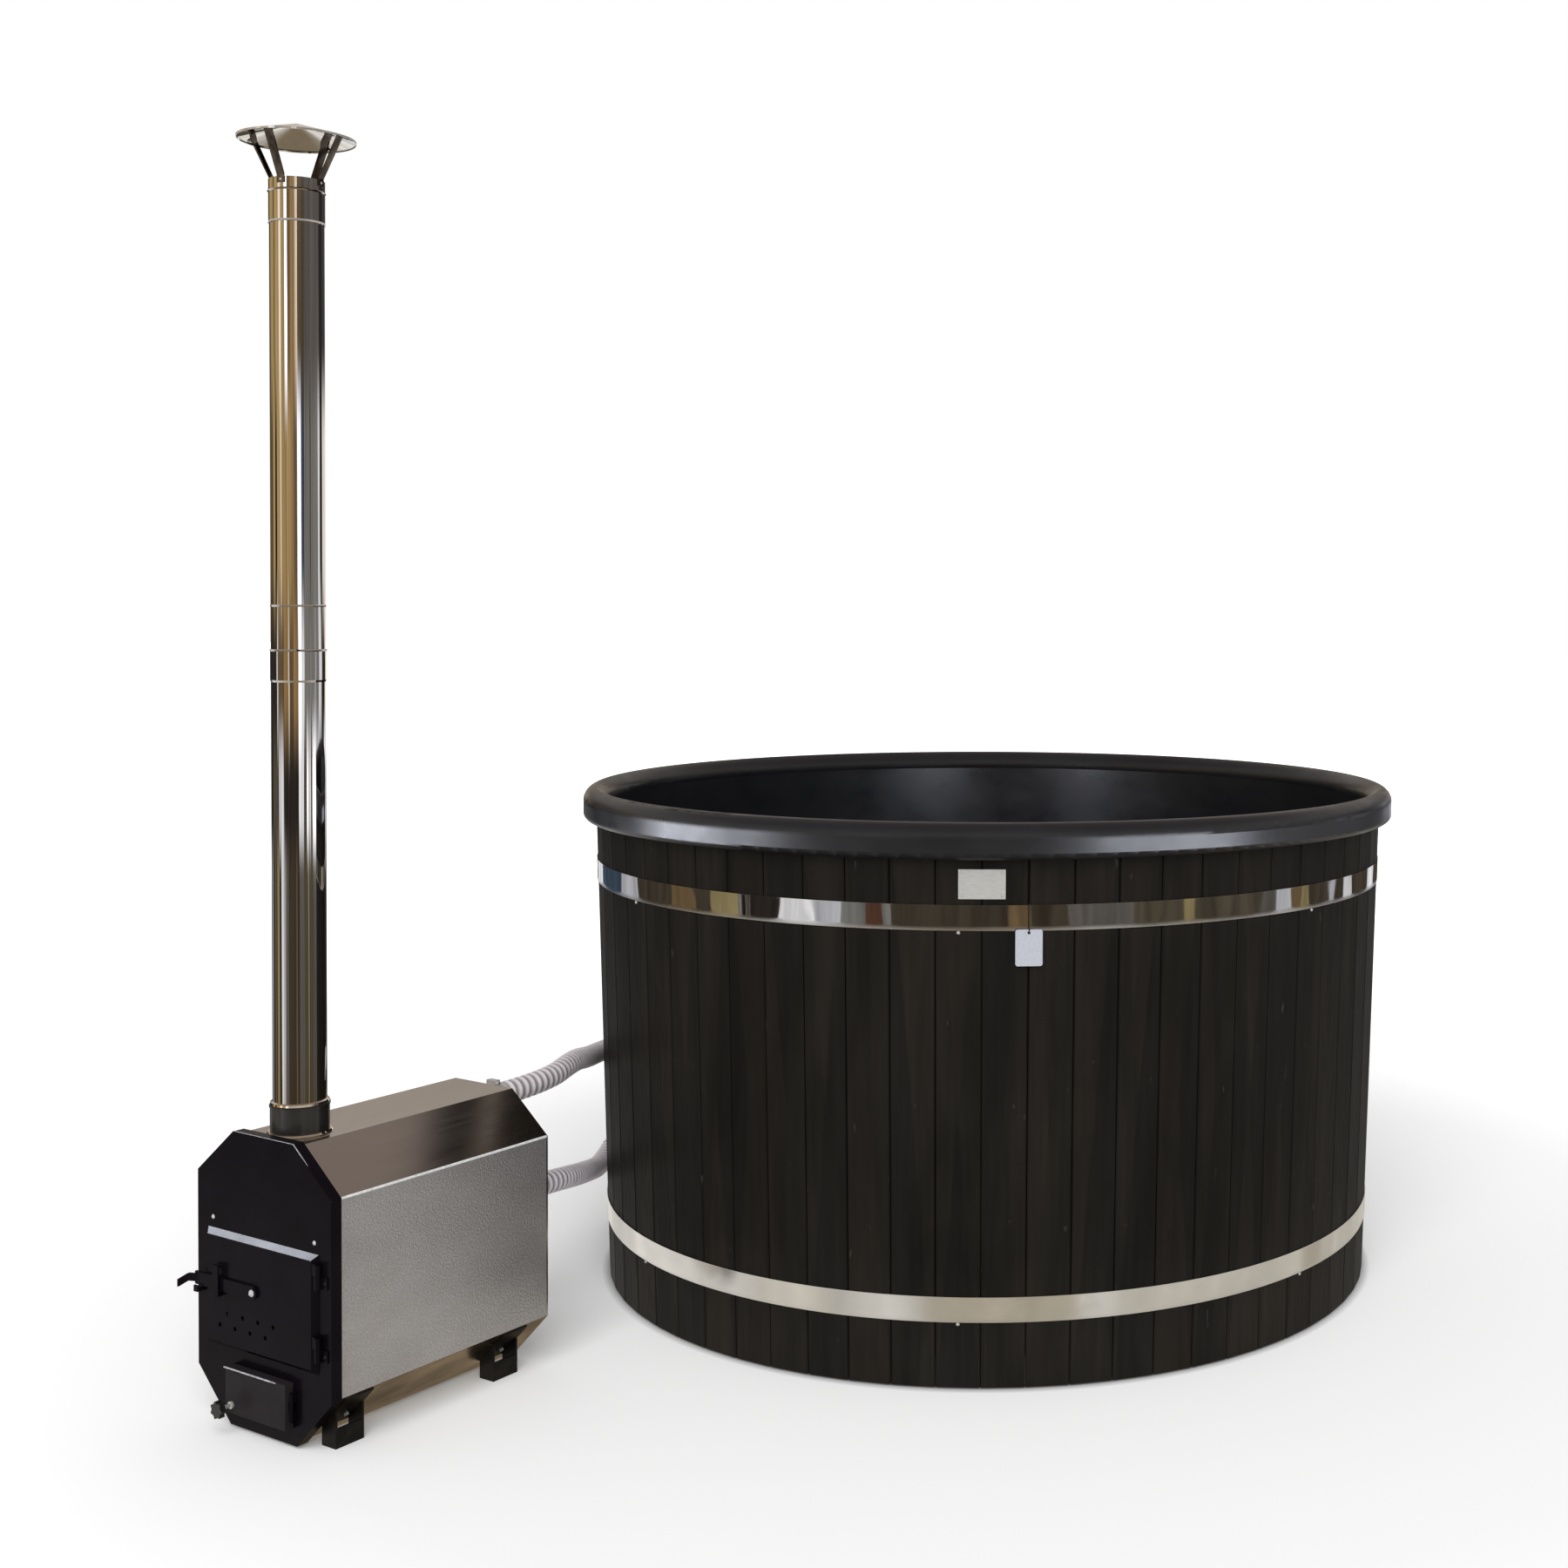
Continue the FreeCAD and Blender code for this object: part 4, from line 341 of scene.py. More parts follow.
def polyethylene(name, low, high):
    """Moulded tub: near black with a waxy sheen, faint flow marks and rubbed patches."""
    s = Shader(name, specular_ior_level=0.45)
    s.colour(s.ramp(s.noise((3.0, 3.0, 6.0)), ((0.3, low), (0.7, high))))
    s.roughness(s.noise((9.0, 9.0, 16.0), 6.0), 0.24, 0.38)
    s.bump(s.noise((14.0, 14.0, 14.0), 3.0), 0.08, 0.004)
    return s.material


def stained_boards():
    """Dark stained softwood: mottled, upright grain, a tone for each board, pale nicks, and a foot lightened
    by painted bounce light from the floor.
    """
    s = Shader("stained_boards", specular_ior_level=0.12)
    mottle = s.noise((9.0, 9.0, 2.4), 4.0, 0.5, 0.6)
    grain = s.noise((80.0, 80.0, 2.2), 5.0, 0.55, 0.4)
    fibre = s.noise((420.0, 420.0, 7.0), 3.0, 0.5)
    nicks = s.noise((70.0, 70.0, 22.0), 2.0, 0.4)
    stain = s.ramp(mottle, ((0.30, (0.0068, 0.0061, 0.0052)), (0.70, (0.0120, 0.0105, 0.0090))))
    stain = s.mix(0.55, stain, s.ramp(grain, ((0.30, 0.62), (0.70, 1.20))), "MULTIPLY")
    tones = ((0.0, (0.78, 0.82, 0.84)), (0.5, (1.0, 0.99, 0.97)), (1.0, (1.26, 1.18, 1.10)))
    stain = s.mix(1.0, stain, s.ramp(s.island(), tones), "MULTIPLY")
    # Painted light: the boards are lightened near the floor, in place of the light that the pale floor throws
    # up
    bounce_light = s.ramp(s.height(), ((BOUNCE_LIGHT_FULL, (1.42, 1.42, 1.44)), (BOUNCE_LIGHT_END, 1.0)))
    stain = s.mix(1.0, stain, bounce_light, "MULTIPLY")
    s.colour(s.mix(s.ramp(nicks, ((0.74, 0.0), (0.80, 0.5))), stain, (0.050, 0.046, 0.041)))
    s.roughness(fibre, 0.44, 0.66)
    s.bump(s.math("ADD", grain, s.math("MULTIPLY", fibre, 0.5)), 0.16, 0.0010)
    return s.material


def sawn_timber():
    """Plain sawn bearer wood with growth rings and saw marks."""
    s = Shader("sawn_timber")
    rings = s.noise((26.0, 1.6, 40.0), 4.0, 0.55, 0.8)
    s.colour(s.ramp(rings, ((0.3, (0.20, 0.125, 0.068)), (0.7, (0.42, 0.30, 0.185)))))
    s.roughness(rings, 0.62, 0.85)
    s.bump(s.noise((30.0, 160.0, 30.0), 2.0), 0.3, 0.0008)
    return s.material


def rolled_steel(node, tint, low, high, wave, scratch):
    """Bright rolled stainless: slow waves in the sheet, fine level scratches, hand marks, dull cut edges."""
    s = Shader(node + "_steel", metallic=1.0)
    marks = s.noise((7.0, 7.0, 11.0), 5.0, 0.6)
    handled = tuple(0.86 * channel for channel in tint)
    s.colour(s.mix(s.ramp(marks, ((0.35, 0.0), (0.8, 0.6))), tint, handled))
    bottom, top = (corner[2] / cad_box[1][2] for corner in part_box(node))
    rub = CUT_EDGE / cad_box[1][2]
    stops = ((bottom + 0.7 * rub, 1.0), (bottom + rub, 0.0), (top - rub, 0.0), (top - 0.7 * rub, 1.0))
    cut = (CUT_EDGE_ROUGHNESS, CUT_EDGE_ROUGHNESS, CUT_EDGE_ROUGHNESS)
    sheen = s.mix(s.ramp(s.height(), stops), s.ramp(marks, ((0.25, low), (0.75, high))), cut)
    s.link(sheen, s.bsdf.inputs["Roughness"])
    s.bump(s.noise((5.0, 5.0, 2.5), 2.0, 0.4), wave, 0.02)
    s.bump(s.noise((30.0, 30.0, 900.0), 2.0), scratch, 0.0002)
    return s.material


def flue_steel():
    """Mirror stainless pipe, drawn lengthwise, with a straw heat tint low down near the stove."""
    s = Shader("flue_steel", metallic=1.0)
    streaks = s.noise((60.0, 60.0, 1.6), 4.0, 0.5)
    steel = s.ramp(streaks, ((0.30, (0.74, 0.725, 0.71)), (0.70, (0.86, 0.85, 0.845))))
    heat = s.ramp(s.height(), ((0.235, (0.93, 0.84, 0.72)), (0.30, (1.0, 0.985, 0.97))))
    s.colour(s.mix(1.0, steel, heat, "MULTIPLY"))
    s.roughness(s.noise((50.0, 50.0, 6.0), 5.0), 0.02, 0.06)
    s.bump(s.noise((26.0, 26.0, 1.2), 2.0), 0.12, 0.003)
    s.bump(s.noise((500.0, 500.0, 9.0), 2.0), 0.03, 0.0002)
    return s.material


def casing_steel(name, low, high, cloud):
    """Glossy stainless sheet of the stove's shell, brushed along its length, with a warm tint that changes in
    clouds.
    """
    s = Shader(name, metallic=1.0)
    haze = s.noise((cloud, 0.4 * cloud, cloud), 3.0)
    s.colour(s.ramp(haze, ((0.3, low), (0.7, high))))
    s.roughness(s.noise((120.0, 3.0, 120.0), 4.0), 0.15, 0.24)
    s.bump(s.noise((700.0, 8.0, 700.0), 2.0), 0.06, 0.0002)
    return s.material


def polished_cap():
    """Spun mirror steel with faint turning rings."""
    s = Shader("polished_cap", metallic=1.0)
    rings = s.noise((40.0, 40.0, 40.0), 4.0)
    s.colour(s.ramp(rings, ((0.3, (0.76, 0.74, 0.71)), (0.7, (0.86, 0.845, 0.82)))))
    s.roughness(rings, 0.02, 0.06)
    s.bump(s.noise((9.0, 9.0, 9.0), 2.0), 0.10, 0.004)
    return s.material


def dark_strap():
    """Bent flat steel, dark brown, with brighter rubbed stretches."""
    s = Shader("dark_strap", metallic=1.0)
    rub = s.noise((50.0, 50.0, 12.0), 5.0, 0.6)
    s.colour(s.ramp(rub, ((0.40, (0.085, 0.072, 0.066)), (0.75, (0.30, 0.27, 0.25)))))
    s.roughness(rub, 0.08, 0.18)
    s.bump(s.noise((300.0, 300.0, 60.0), 2.0), 0.06, 0.0003)
    return s.material


def painted_highlight_edge(name, low, high):
    """Pale rounded strip along a fold or an edge, its pale colour a painted highlight."""
    s = Shader(name, metallic=0.2)
    rub = s.noise((160.0, 160.0, 160.0), 4.0)
    s.colour(s.ramp(rub, ((0.3, low), (0.7, high))))
    s.roughness(rub, 0.30, 0.46)
    return s.material


def embossed_panel():
    """Stucco-embossed sheet: small irregular dimples over a grey metal skin."""
    s = Shader("embossed_panel", metallic=0.9)
    cloud = s.noise((6.0, 3.0, 6.0), 4.0)
    dimples = s.cells((260.0, 260.0, 260.0))
    flecks = s.noise((330.0, 330.0, 330.0), 3.0)
    base = s.ramp(cloud, ((0.3, (0.64, 0.63, 0.65)), (0.7, (0.82, 0.81, 0.835))))
    s.colour(s.mix(0.50, base, s.ramp(flecks, ((0.35, 0.40), (0.65, 1.0))), "MULTIPLY"))
    s.roughness(flecks, 0.34, 0.52)
    s.bump(s.math("ADD", dimples, s.math("MULTIPLY", flecks, 0.6)), 0.55, 0.0011)
    return s.material


def stove_paint(name, low, high, gloss):
    """Satin black heat-proof paint with a fine spray texture and dull patches."""
    s = Shader(name, specular_ior_level=gloss)
    s.colour(s.ramp(s.noise((8.0, 8.0, 8.0), 5.0), ((0.3, low), (0.7, high))))
    s.roughness(s.noise((20.0, 20.0, 20.0), 5.0), 0.18, 0.30)
    s.bump(s.noise((900.0, 900.0, 900.0), 2.0), 0.10, 0.0003)
    return s.material


def bracket_paint():
    """Thin black paint on the folded feet, a little bronze where it is rubbed."""
    s = Shader("bracket_paint", specular_ior_level=0.12)
    rub = s.noise((30.0, 30.0, 30.0), 6.0, 0.6)
    s.colour(s.ramp(rub, ((0.45, (0.0050, 0.0046, 0.0044)), (0.75, (0.0180, 0.0140, 0.0095)))))
    s.roughness(rub, 0.28, 0.46)
    s.bump(s.noise((700.0, 700.0, 700.0), 2.0), 0.12, 0.0003)
    return s.material


def scaled_steel():
    """Plate inside the stove: mill scale, soot and rust bloom."""
    s = Shader("scaled_steel", metallic=0.7)
    soot = s.noise((14.0, 14.0, 14.0), 6.0, 0.65)
    scale = ((0.3, (0.03, 0.028, 0.027)), (0.55, (0.13, 0.12, 0.115)), (0.75, (0.20, 0.125, 0.075)))
    s.colour(s.ramp(soot, scale))
    s.roughness(soot, 0.5, 0.85)
    s.bump(s.noise((180.0, 180.0, 180.0), 4.0), 0.3, 0.0008)
    return s.material


def cast_iron():
    """Rough cast bars of the grate."""
    s = Shader("cast_iron", metallic=0.6)
    skin = s.noise((160.0, 160.0, 160.0), 5.0, 0.6)
    s.colour(s.ramp(skin, ((0.3, (0.028, 0.026, 0.025)), (0.7, (0.085, 0.075, 0.068)))))
    s.roughness(skin, 0.6, 0.9)
    s.bump(skin, 0.5, 0.0010)
    return s.material


def seal_cord():
    """Woven heat-proof rope: pale fibres with a crossed weave."""
    s = Shader("seal_cord", sheen_weight=0.3)
    weave = s.math("ADD", s.noise((900.0, 900.0, 120.0), 2.0), s.noise((120.0, 900.0, 900.0), 2.0))
    s.colour(s.ramp(weave, ((0.35, (0.25, 0.235, 0.21)), (0.75, (0.62, 0.59, 0.54)))))
    s.roughness(weave, 0.8, 0.95)
    s.bump(weave, 0.6, 0.0012)
    return s.material


def plated_steel():
    """Zinc-plated and stainless small parts: bright, with dull rubbed spots."""
    s = Shader("plated_steel", metallic=0.65)
    spots = s.noise((240.0, 240.0, 240.0), 4.0)
    s.colour(s.ramp(spots, ((0.3, (0.56, 0.55, 0.53)), (0.7, (0.80, 0.79, 0.77)))))
    s.roughness(spots, 0.16, 0.34)
    s.bump(s.noise((700.0, 700.0, 700.0), 2.0), 0.08, 0.0003)
    return s.material


def bright_screws(name, painted):
    """Pale zinc heads; where the hinges are painted over, the ones below SCREW_PAINT_HEIGHT are black."""
    s = Shader(name, metallic=0.4)
    spots = s.noise((300.0, 300.0, 300.0), 4.0)
    zinc = s.ramp(spots, ((0.3, (0.46, 0.46, 0.47)), (0.7, (0.74, 0.74, 0.75))))
    if painted:
        bare = s.ramp(s.height(), ((SCREW_PAINT_HEIGHT - 0.002, 0.0), (SCREW_PAINT_HEIGHT, 1.0)))
        zinc = s.mix(bare, (0.012, 0.011, 0.012), zinc)
    s.colour(zinc)
    s.roughness(spots, 0.28, 0.46)
    s.bump(spots, 0.08, 0.0003)
    return s.material


def blank_plate():
    """Satin aluminium plate with a fine brushed skin."""
    s = Shader("blank_plate", metallic=0.3)
    brush = s.noise((60.0, 60.0, 1400.0), 3.0)
    s.colour(s.ramp(brush, ((0.3, (0.38, 0.38, 0.365)), (0.7, (0.50, 0.50, 0.485)))))
    s.roughness(brush, 0.34, 0.50)
    s.bump(brush, 0.10, 0.0002)
    return s.material


def blank_card():
    """White coated card with a faint fibre."""
    s = Shader("blank_card")
    fibre = s.noise((260.0, 260.0, 260.0), 5.0)
    s.colour(s.ramp(fibre, ((0.3, (0.34, 0.355, 0.40)), (0.7, (0.41, 0.425, 0.47)))))
    s.roughness(fibre, 0.38, 0.55)
    s.bump(fibre, 0.10, 0.0003)
    return s.material


def tie_cord():
    """Dark twisted string of the card."""
    s = Shader("tie_cord")
    twist = s.noise((600.0, 600.0, 1500.0), 2.0)
    s.colour(s.ramp(twist, ((0.3, (0.014, 0.013, 0.012)), (0.7, (0.034, 0.031, 0.028)))))
    s.roughness(twist, 0.7, 0.9)
    s.bump(twist, 0.4, 0.0006)
    return s.material


def moulded_fitting():
    """Dark grey moulded pipe fittings with a matt, slightly pitted skin."""
    s = Shader("moulded_fitting")
    skin = s.noise((60.0, 60.0, 60.0), 5.0)
    s.colour(s.ramp(skin, ((0.3, (0.020, 0.021, 0.023)), (0.7, (0.042, 0.043, 0.046)))))
    s.roughness(skin, 0.38, 0.55)
    s.bump(s.noise((800.0, 800.0, 800.0), 2.0), 0.15, 0.0003)
    return s.material


def phenolic():
    """Hard black knob plastic with a polished, faintly scuffed surface."""
    s = Shader("phenolic", specular_ior_level=0.55)
    scuff = s.noise((300.0, 300.0, 300.0), 5.0)
    s.colour(s.ramp(scuff, ((0.35, (0.008, 0.008, 0.008)), (0.75, (0.018, 0.017, 0.016)))))
    s.roughness(scuff, 0.20, 0.42)
    s.bump(scuff, 0.08, 0.0003)
    return s.material


def hose_plastic():
    """Grey-mauve ribbed hose: glossy rib crests with a painted highlight, painted shade in the grooves."""
    s = Shader("hose_plastic", specular_ior_level=0.6)
    cloud = s.noise((30.0, 30.0, 30.0), 5.0)
    crest_highlight = s.ramp(cloud, ((0.3, (0.70, 0.65, 0.675)), (0.7, (0.86, 0.81, 0.835))))
    groove_shade = s.ramp(cloud, ((0.3, (0.20, 0.175, 0.19)), (0.7, (0.29, 0.26, 0.275))))
    # Rib height picks the colour: a painted highlight on the crests, painted shade in the grooves
    s.colour(s.mix(s.attribute("rib_height"), groove_shade, crest_highlight))
    s.roughness(s.noise((90.0, 90.0, 90.0), 4.0), 0.24, 0.40)
    s.bump(s.noise((500.0, 500.0, 500.0), 2.0), 0.10, 0.0003)
    return s.material


def dress_nodes():
    """Give every solid its own finish, or the one of its material slot in the record."""
    finishes = {
        "black_polyethylene": polyethylene(
            "black_polyethylene", (0.0056, 0.0058, 0.0072), (0.0104, 0.0108, 0.0132),
        ),
        "stained_boards": stained_boards(),
        "bearer_timber": sawn_timber(),
        "flue_steel": flue_steel(),
        "casing_steel": casing_steel("casing_steel", (0.50, 0.46, 0.425), (0.58, 0.54, 0.50), 3.0),
        "embossed_panel": embossed_panel(),
        "black_stove_paint": stove_paint(
            "stove_paint", (0.0026, 0.0016, 0.0032), (0.0050, 0.0036, 0.0058), 0.07,
        ),
        "fire_steel": scaled_steel(),
        "cast_grate": cast_iron(),
        "seal_cord": seal_cord(),
        "plated_fasteners": plated_steel(),
        "blank_plate": blank_plate(),
        "blank_card": blank_card(),
        "tie_cord": tie_cord(),
        "grey_fittings": moulded_fitting(),
        "knob_plastic": phenolic(),
        "hose_plastic": hose_plastic(),
    }
    own = {
        # A darker copy of the tub's polyethylene: painted shade inside the tub
        "tub_wall": polyethylene("inner_wall_painted_shade", (0.0046, 0.0050, 0.0066), (0.0080, 0.0086, 0.0112)),
        "upper_hoop": rolled_steel("upper_hoop", (0.76, 0.745, 0.72), 0.02, 0.06, 0.26, 0.02),
        "lower_hoop": rolled_steel("lower_hoop", (0.86, 0.85, 0.83), 0.12, 0.24, 0.2, 0.03),
        # A lighter copy of the stove paint: its gloss is real, and the lighter base colour is a painted sheen
        "flue_collar": stove_paint(
            "collar_paint_painted_sheen", (0.0115, 0.0105, 0.0100), (0.0180, 0.0165, 0.0155), 0.75,
        ),
        "casing_bottom": casing_steel("clouded_casing_steel", (0.22, 0.19, 0.165), (0.86, 0.78, 0.68), 14.0),
        # A lighter, almost unglossy copy of the stove paint: its lightness is a painted sheen
        "ash_door": stove_paint("ash_door_painted_sheen", (0.0180, 0.0152, 0.0162), (0.0270, 0.0232, 0.0246), 0.03),
        "front_feet": bracket_paint(),
        "cap_straps": dark_strap(),
        "rain_cap": polished_cap(),
        "front_screws": bright_screws("front_screws", True),
        "latch_bolt": bright_screws("latch_bolt_head", False),
        "hinge_pins": finishes["black_stove_paint"],
        "ash_hinge_pin": finishes["black_stove_paint"],
    }
    own["rear_feet"] = own["front_feet"]
    slot_of = {row["node"]: row["material_slot"] for row in frame["record"]["subparts"]}
    for name, node in nodes.items():
        node.data.materials.clear()
        node.data.materials.append(own.get(name) or finishes[slot_of[name]])
    return finishes


# Hoses

def route_samples(name, points):
    """Points along the smooth line that has the route's points as its control points."""
    curve = bpy.data.curves.new(name + "_route", "CURVE")
    curve.dimensions = "3D"
    curve.resolution_u = ROUTE_RESOLUTION
    spline = curve.splines.new("NURBS")
    spline.points.add(len(points) - 1)
    for control, place in zip(spline.points, points):
        control.co = (*place, 1.0)
    spline.order_u = 3
    spline.use_endpoint_u = True
    carrier = bpy.data.objects.new(name + "_route", curve)
    bpy.context.scene.collection.objects.link(carrier)
    bpy.context.view_layer.update()
    line = bpy.data.meshes.new_from_object(carrier.evaluated_get(bpy.context.evaluated_depsgraph_get()))
    samples = [vertex.co.copy() for vertex in line.vertices]
    bpy.data.objects.remove(carrier)
    bpy.data.curves.remove(curve)
    bpy.data.meshes.remove(line)
    return samples


def along(samples, lengths, distance):
    """Point and direction at a distance along a sampled line."""
    low = 0
    while low < len(lengths) - 2 and lengths[low + 1] < distance:
        low += 1
    step = samples[low + 1] - samples[low]
    share = (distance - lengths[low]) / (lengths[low + 1] - lengths[low])
    return samples[low] + step * share, step.normalized()


def hose_profile(distance, length, ribs):
    """Outer radius of the hose at a distance from its start: plain cuffs, rounded ribs between."""
    pitch = (length - 2.0 * HOSE_CUFF_LENGTH) / ribs
    inside = distance - HOSE_CUFF_LENGTH
    if inside < 0.0 or inside > length - 2.0 * HOSE_CUFF_LENGTH:
        return HOSE_CUFF
    wave = 0.5 - 0.5 * math.cos(2.0 * math.pi * inside / pitch)
    return HOSE_ROOT + (HOSE_RADIUS - HOSE_ROOT) * wave ** HOSE_CREST_POWER


def hose(name, points, material):
    """Ribbed hose as one closed tube: outer skin, end faces and bore."""
    samples = route_samples(name, points)
    lengths = [0.0]
    for first, second in zip(samples, samples[1:]):
        lengths.append(lengths[-1] + (second - first).length)
    length = lengths[-1]
    ribs = round((length - 2.0 * HOSE_CUFF_LENGTH) / HOSE_PITCH)
    count = ribs * HOSE_STEPS + 2 * HOSE_STEPS
    stations = [(length * k / count, None) for k in range(count + 1)]
    stations += [(length * k / HOSE_STEPS, HOSE_BORE) for k in range(HOSE_STEPS, -1, -1)]
    vertices = []
    faces = []
    rib_heights = []
    for distance, radius in stations:
        centre, direction = along(samples, lengths, min(distance, length - 1e-6))
        side = Vector((0.0, 0.0, 1.0)).cross(direction).normalized()
        up = direction.cross(side)
        reach = radius or hose_profile(distance, length, ribs)
        # Rib height of each point; the hose's finish turns it into painted highlight and painted shade
        rib_heights += [max(0.0, (reach - HOSE_ROOT) / (HOSE_RADIUS - HOSE_ROOT))] * HOSE_SIDES
        for k in range(HOSE_SIDES):
            angle = 2.0 * math.pi * k / HOSE_SIDES
            vertices.append(centre + side * (reach * math.cos(angle)) + up * (reach * math.sin(angle)))
    rings = len(stations)
    for ring in range(rings):
        after = (ring + 1) % rings
        for k in range(HOSE_SIDES):
            beside = (k + 1) % HOSE_SIDES
            faces.append((
                ring * HOSE_SIDES + k, ring * HOSE_SIDES + beside,
                after * HOSE_SIDES + beside, after * HOSE_SIDES + k,
            ))
    mesh = bpy.data.meshes.new(name)
    mesh.from_pydata(vertices, [], faces)
    mesh.polygons.foreach_set("use_smooth", [True] * len(faces))
    mesh.attributes.new("rib_height", "FLOAT", "POINT").data.foreach_set("value", rib_heights)
    mesh.materials.append(material)
    piece = bpy.data.objects.new(name, mesh)
    bpy.context.scene.collection.objects.link(piece)
    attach(piece, ROOT)
    return piece


# Painted highlights along the stove's edges

def edge(name, points, radius, material, body):
    """Thin rounded strip along an edge."""
    curve = bpy.data.curves.new(name, "CURVE")
    curve.dimensions = "3D"
    curve.bevel_depth = radius
    curve.bevel_resolution = 3
    curve.use_fill_caps = True
    spline = curve.splines.new("POLY")
    spline.points.add(len(points) - 1)
    for control, place in zip(spline.points, points):
        control.co = (*place, 1.0)
    curve.materials.append(material)
    piece = bpy.data.objects.new(name, curve)
    bpy.context.scene.collection.objects.link(piece)
    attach(piece, body)


def add_edges():
    """Bright folds on the side panels and bright edges on the front plate and the ash door, pale as painted
    highlights.
    """
    # The strips' pale colour is a painted highlight where the edges would catch the light
    folded = painted_highlight_edge("fold_painted_highlight", (0.60, 0.60, 0.61), (0.90, 0.90, 0.91))
    highlight_finish = painted_highlight_edge("edge_painted_highlight", (0.22, 0.22, 0.24), (0.60, 0.60, 0.64))
    for side, outer, inward in (("left", 0, 1.0), ("right", 1, -1.0)):
        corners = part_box("side_panel_" + side)
        x = corners[outer][0] + inward * FOLD_SINK
        front, rear, high = corners[0][1], corners[1][1], corners[1][2]
        edge(
            "panel_fold_" + side, ((x, front, high), (x, rear, high)),
            FOLD_RADIUS, folded, ROOT,
        )
    (left, face, _), (right, _, top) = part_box("front_plate")
    middle = (left + right) / 2.0
    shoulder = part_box("side_panel_right")[1][2]
    face += EDGE_RADIUS
    sink = EDGE_RADIUS / 2.0
    edge(
        "front_plate_edge",
        (
            (left + sink, face, shoulder), (middle - STOVE_TOP_HALF, face, top - sink),
            (middle + STOVE_TOP_HALF, face, top - sink), (right - sink, face, shoulder),
        ),
        EDGE_RADIUS, highlight_finish, ROOT,
    )
    (left, face, _), (right, _, top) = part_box("ash_door")
    edge(
        "ash_door_lip",
        ((left, face, top), (left + LIP_SHARE * (right - left), face, top)),
        EDGE_RADIUS, highlight_finish, "ash_door",
    )


# Studio

def add_camera():
    data = bpy.data.cameras.new("photo_camera")
    data.lens = CAMERA_LENS
    data.sensor_width = CAMERA_SENSOR
    data.shift_x, data.shift_y = CAMERA_SHIFT
    data.clip_end = 200.0
    camera = bpy.data.objects.new("photo_camera", data)
    heading = Matrix.Rotation(math.radians(CAMERA_AZIMUTH), 4, "Z")
    pitch = Matrix.Rotation(math.radians(90.0 + CAMERA_PITCH), 4, "X")
    roll = Matrix.Rotation(math.radians(CAMERA_ROLL), 4, "Z")
    camera.matrix_world = Matrix.Translation(CAMERA_PLACE) @ heading @ pitch @ roll
    bpy.context.scene.collection.objects.link(camera)
    bpy.context.scene.camera = camera


def panel_light(name, place, target, size, power, receivers):
    """Bright panel that lights the given pieces alone."""
    data = bpy.data.lights.new(name, "AREA")
    data.color = COOL
    data.shape = "RECTANGLE"
    data.size, data.size_y = size
    data.energy = power
    light = bpy.data.objects.new(name, data)
    light.location = place
    light.rotation_euler = (Vector(target) - Vector(place)).to_track_quat("-Z", "Y").to_euler()
    bpy.context.scene.collection.objects.link(light)
    lit = bpy.data.collections.new(name + "_receivers")
    for receiver in receivers:
        lit.objects.link(receiver)
    light.light_linking.receiver_collection = lit
    return light


def window_light(name, place, target, size, power, node):
    """Panel that one part mirrors and that leaves its shading alone."""
    panel_light(name, place, target, size, power, (nodes[node],)).visible_diffuse = False


def around(azimuth, reach, height):
    """Place at an azimuth, distance and height round the tub's axis."""
    turn = math.radians(azimuth)
    return reach * math.cos(turn), reach * math.sin(turn), height


def add_floor():
    """Pale floor: a painted shadow under the tub, and brightening into the white background far from the
    object.
    """
    mesh = bpy.data.meshes.new("studio_floor")
    corners = [(FLOOR_HALF * x, FLOOR_HALF * y, 0.0) for x, y in ((-1, -1), (1, -1), (1, 1), (-1, 1))]
    mesh.from_pydata(corners, [], [(0, 1, 2, 3)])
    s = Shader("studio_floor", roughness=0.9, specular_ior_level=0.0)
    s.bsdf.inputs["Emission Color"].default_value = (1.0, 1.0, 1.0, 1.0)
    distance = s.node("VectorMath", operation="LENGTH")
    s.link(s.coords, distance.inputs[0])
    share = s.math("MULTIPLY", distance.outputs["Value"], 1.0 / FLOOR_SPAN)
    radii = (FOOT_RADIUS - FOOT_BLEND, FOOT_RADIUS, GLOW_START, GLOW_END)
    under, beside, start, end = (radius / FLOOR_SPAN for radius in radii)
    # Inside the boards' foot the floor's colour drops to a painted shadow
    s.colour(s.ramp(share, ((under, FLOOR_PAINTED_SHADOW), (beside, FLOOR_PALE))))
    glow = s.ramp(share, ((under, 0.0), (beside, GLOW_NEAR), (start, GLOW_NEAR), (end, GLOW_FAR)))
    s.link(glow, s.bsdf.inputs["Emission Strength"])
    mesh.materials.append(s.material)
    floor = bpy.data.objects.new("studio_floor", mesh)
    floor.visible_glossy = False
    bpy.context.scene.collection.objects.link(floor)


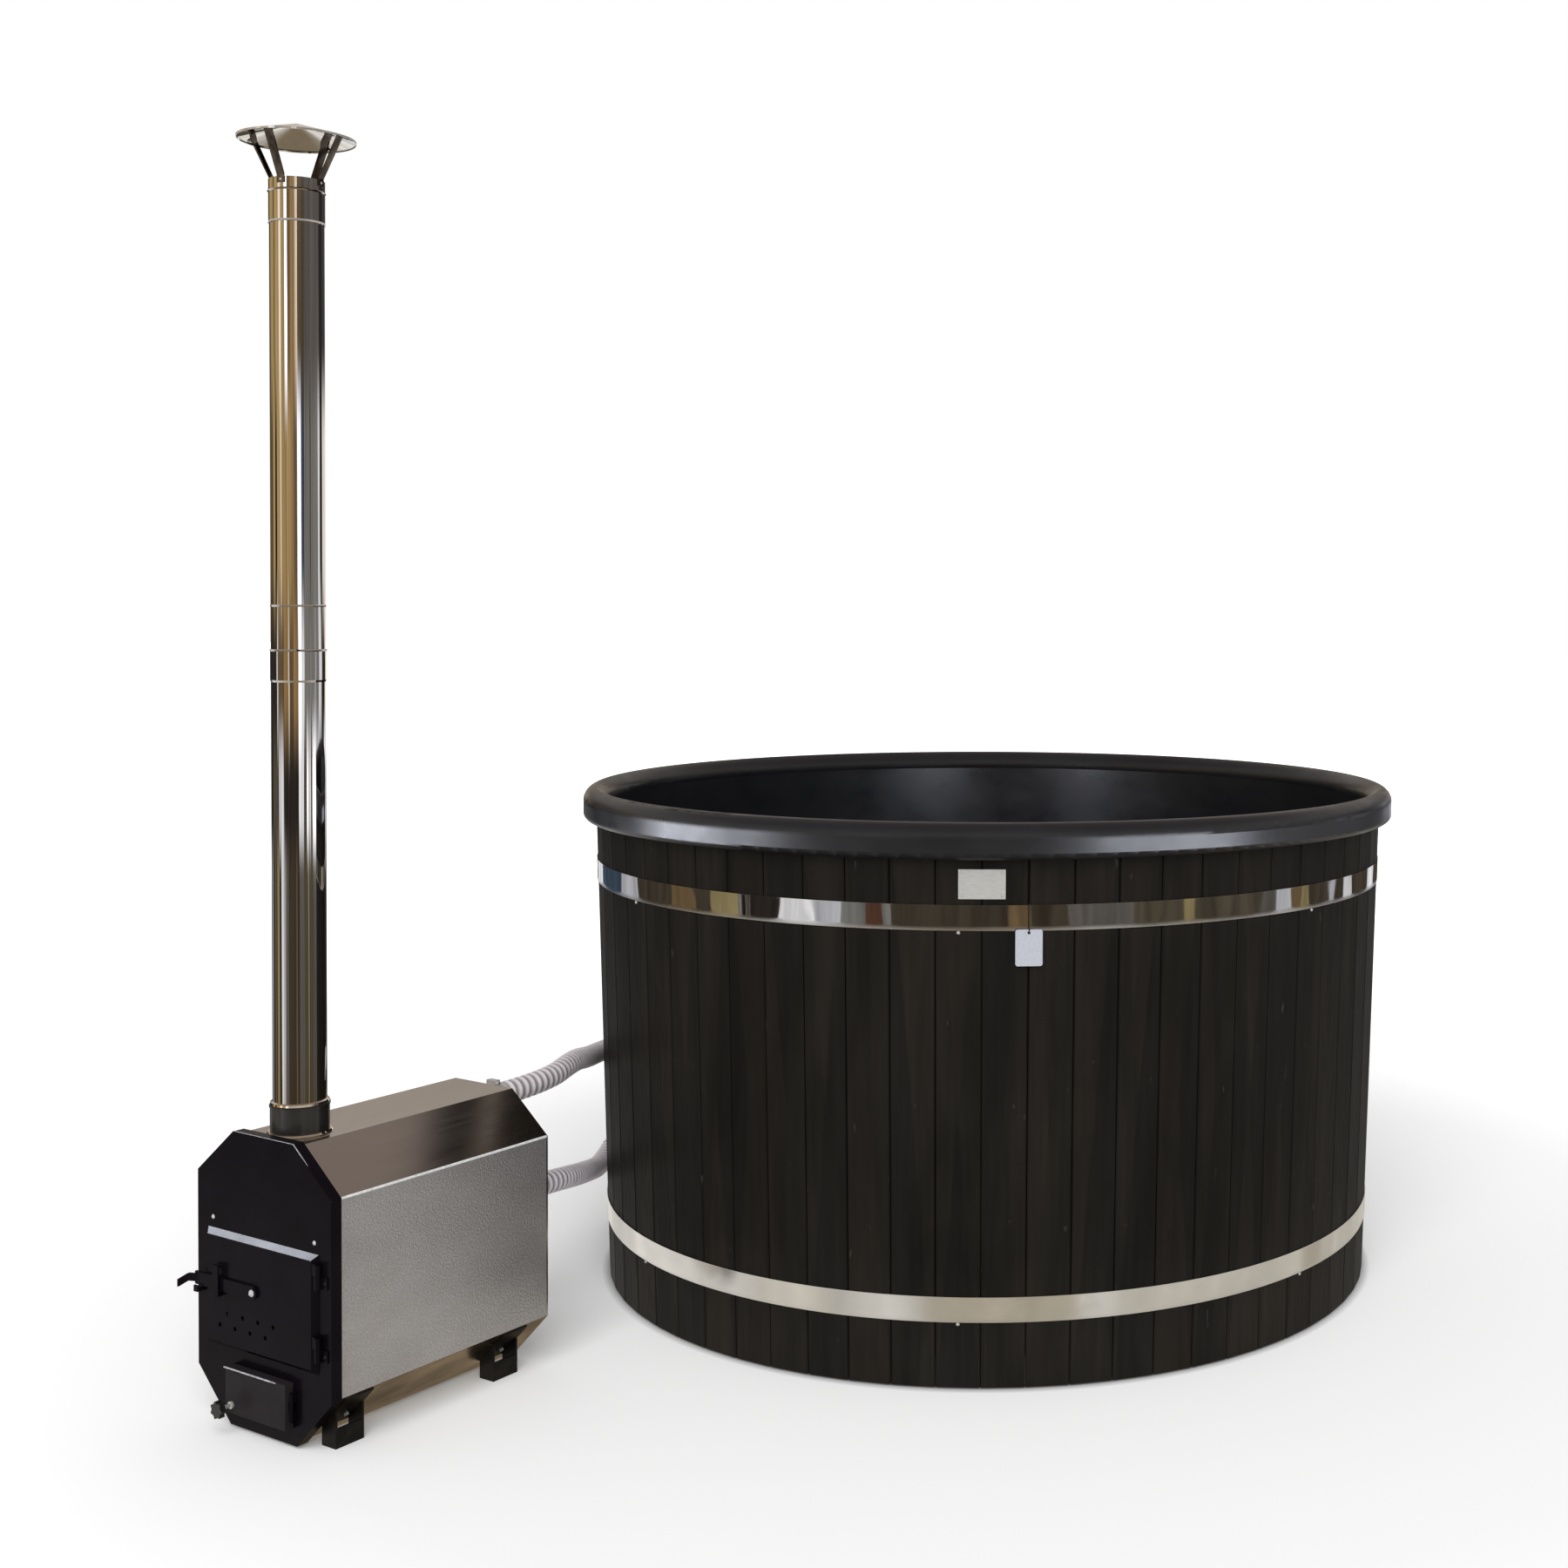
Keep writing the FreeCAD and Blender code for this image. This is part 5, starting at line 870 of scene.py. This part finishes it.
class Room(Graph):
    """World nodes: white for the eye, even light for shading, a furnished hall for reflections."""

    def __init__(self):
        world = bpy.data.worlds.new("studio")
        bpy.context.scene.world = world
        world.use_nodes = True
        super().__init__(world.node_tree, "Generated")
        direction = self.split()
        self.up = direction["Z"]
        turn = self.math("ARCTAN2", direction["Y"], direction["X"])
        self.azimuth = self.math("FRACT", self.math("MULTIPLY", turn, 0.5 / math.pi), 0.0)

    def wall(self, bands):
        """Colour by azimuth: each stretch of wall holds its tone up to the next one's start."""
        return self.ramp(self.azimuth, [(start / 360.0, tone) for start, tone in bands], "CONSTANT")

    def streaked(self, colour):
        """Upright streaks, from darker to brighter than the colour."""
        factor = self.spread(self.noise(STREAK_SCALE, 5.0, 0.6), STREAK_SPAN, result=STREAK_FACTORS)
        node = self.node("VectorMath", operation="SCALE")
        self.link(colour, node.inputs["Vector"])
        self.link(factor, node.inputs["Scale"])
        return node.outputs["Vector"]

    def step(self, heights, below, above):
        """Pass from one colour to another between two heights in the room."""
        return self.mix(self.spread(self.up, heights, "SMOOTHSTEP"), below, above)

    def furnish(self):
        hall = self.wall(BASE_WALL)
        for low, high, bands in WALL_STEPS:
            hall = self.step((low, high), hall, self.wall(bands))
        hall = self.streaked(self.step(GROUND_STEP, self.wall(GROUND), hall))
        hall = self.step(DEEP_STEP, DEEP, hall)
        hall = self.step(UPPER_STEP, hall, UPPER_WALL)
        hall = self.step(CEILING_STEP, hall, CEILING)
        rays = self.node("LightPath").outputs
        seen = self.mix(rays["Is Glossy Ray"], (AMBIENT, AMBIENT, AMBIENT), hall)
        seen = self.mix(rays["Is Camera Ray"], seen, (1.0, 1.0, 1.0))
        self.link(seen, self.tree.nodes["Background"].inputs["Color"])


def add_key():
    """Wide soft sun that no polished part mirrors."""
    data = bpy.data.lights.new("key", "SUN")
    data.energy = KEY_STRENGTH
    data.angle = math.radians(KEY_SPREAD)
    light = bpy.data.objects.new("key", data)
    rise = math.radians(KEY_ELEVATION)
    source = Vector(around(KEY_AZIMUTH, math.cos(rise), math.sin(rise)))
    light.rotation_euler = (-source).to_track_quat("-Z", "Y").to_euler()
    light.visible_glossy = False
    bpy.context.scene.collection.objects.link(light)


def main():
    add_camera()
    finishes = dress_nodes()
    hoses = []
    for name, points in (("upper_hose_ribbed", UPPER_ROUTE), ("lower_hose_ribbed", LOWER_ROUTE)):
        hoses.append(hose(name, points, finishes["hose_plastic"]))
        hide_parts(name.replace("_ribbed", ""))
    add_edges()
    Room().furnish()
    add_floor()
    add_key()
    window_light("door_window", node="fire_door", **DOOR_WINDOW)
    for name, node, azimuth, reach, height, size, power in TUB_WINDOWS:
        window_light(name, around(azimuth, reach, height), TUB_WINDOW_TARGET, size, power, node)
    panel_light("hose_fill", receivers=hoses[1:], **HOSE_FILL)
    bpy.context.scene.view_settings.view_transform = "Standard"


main()
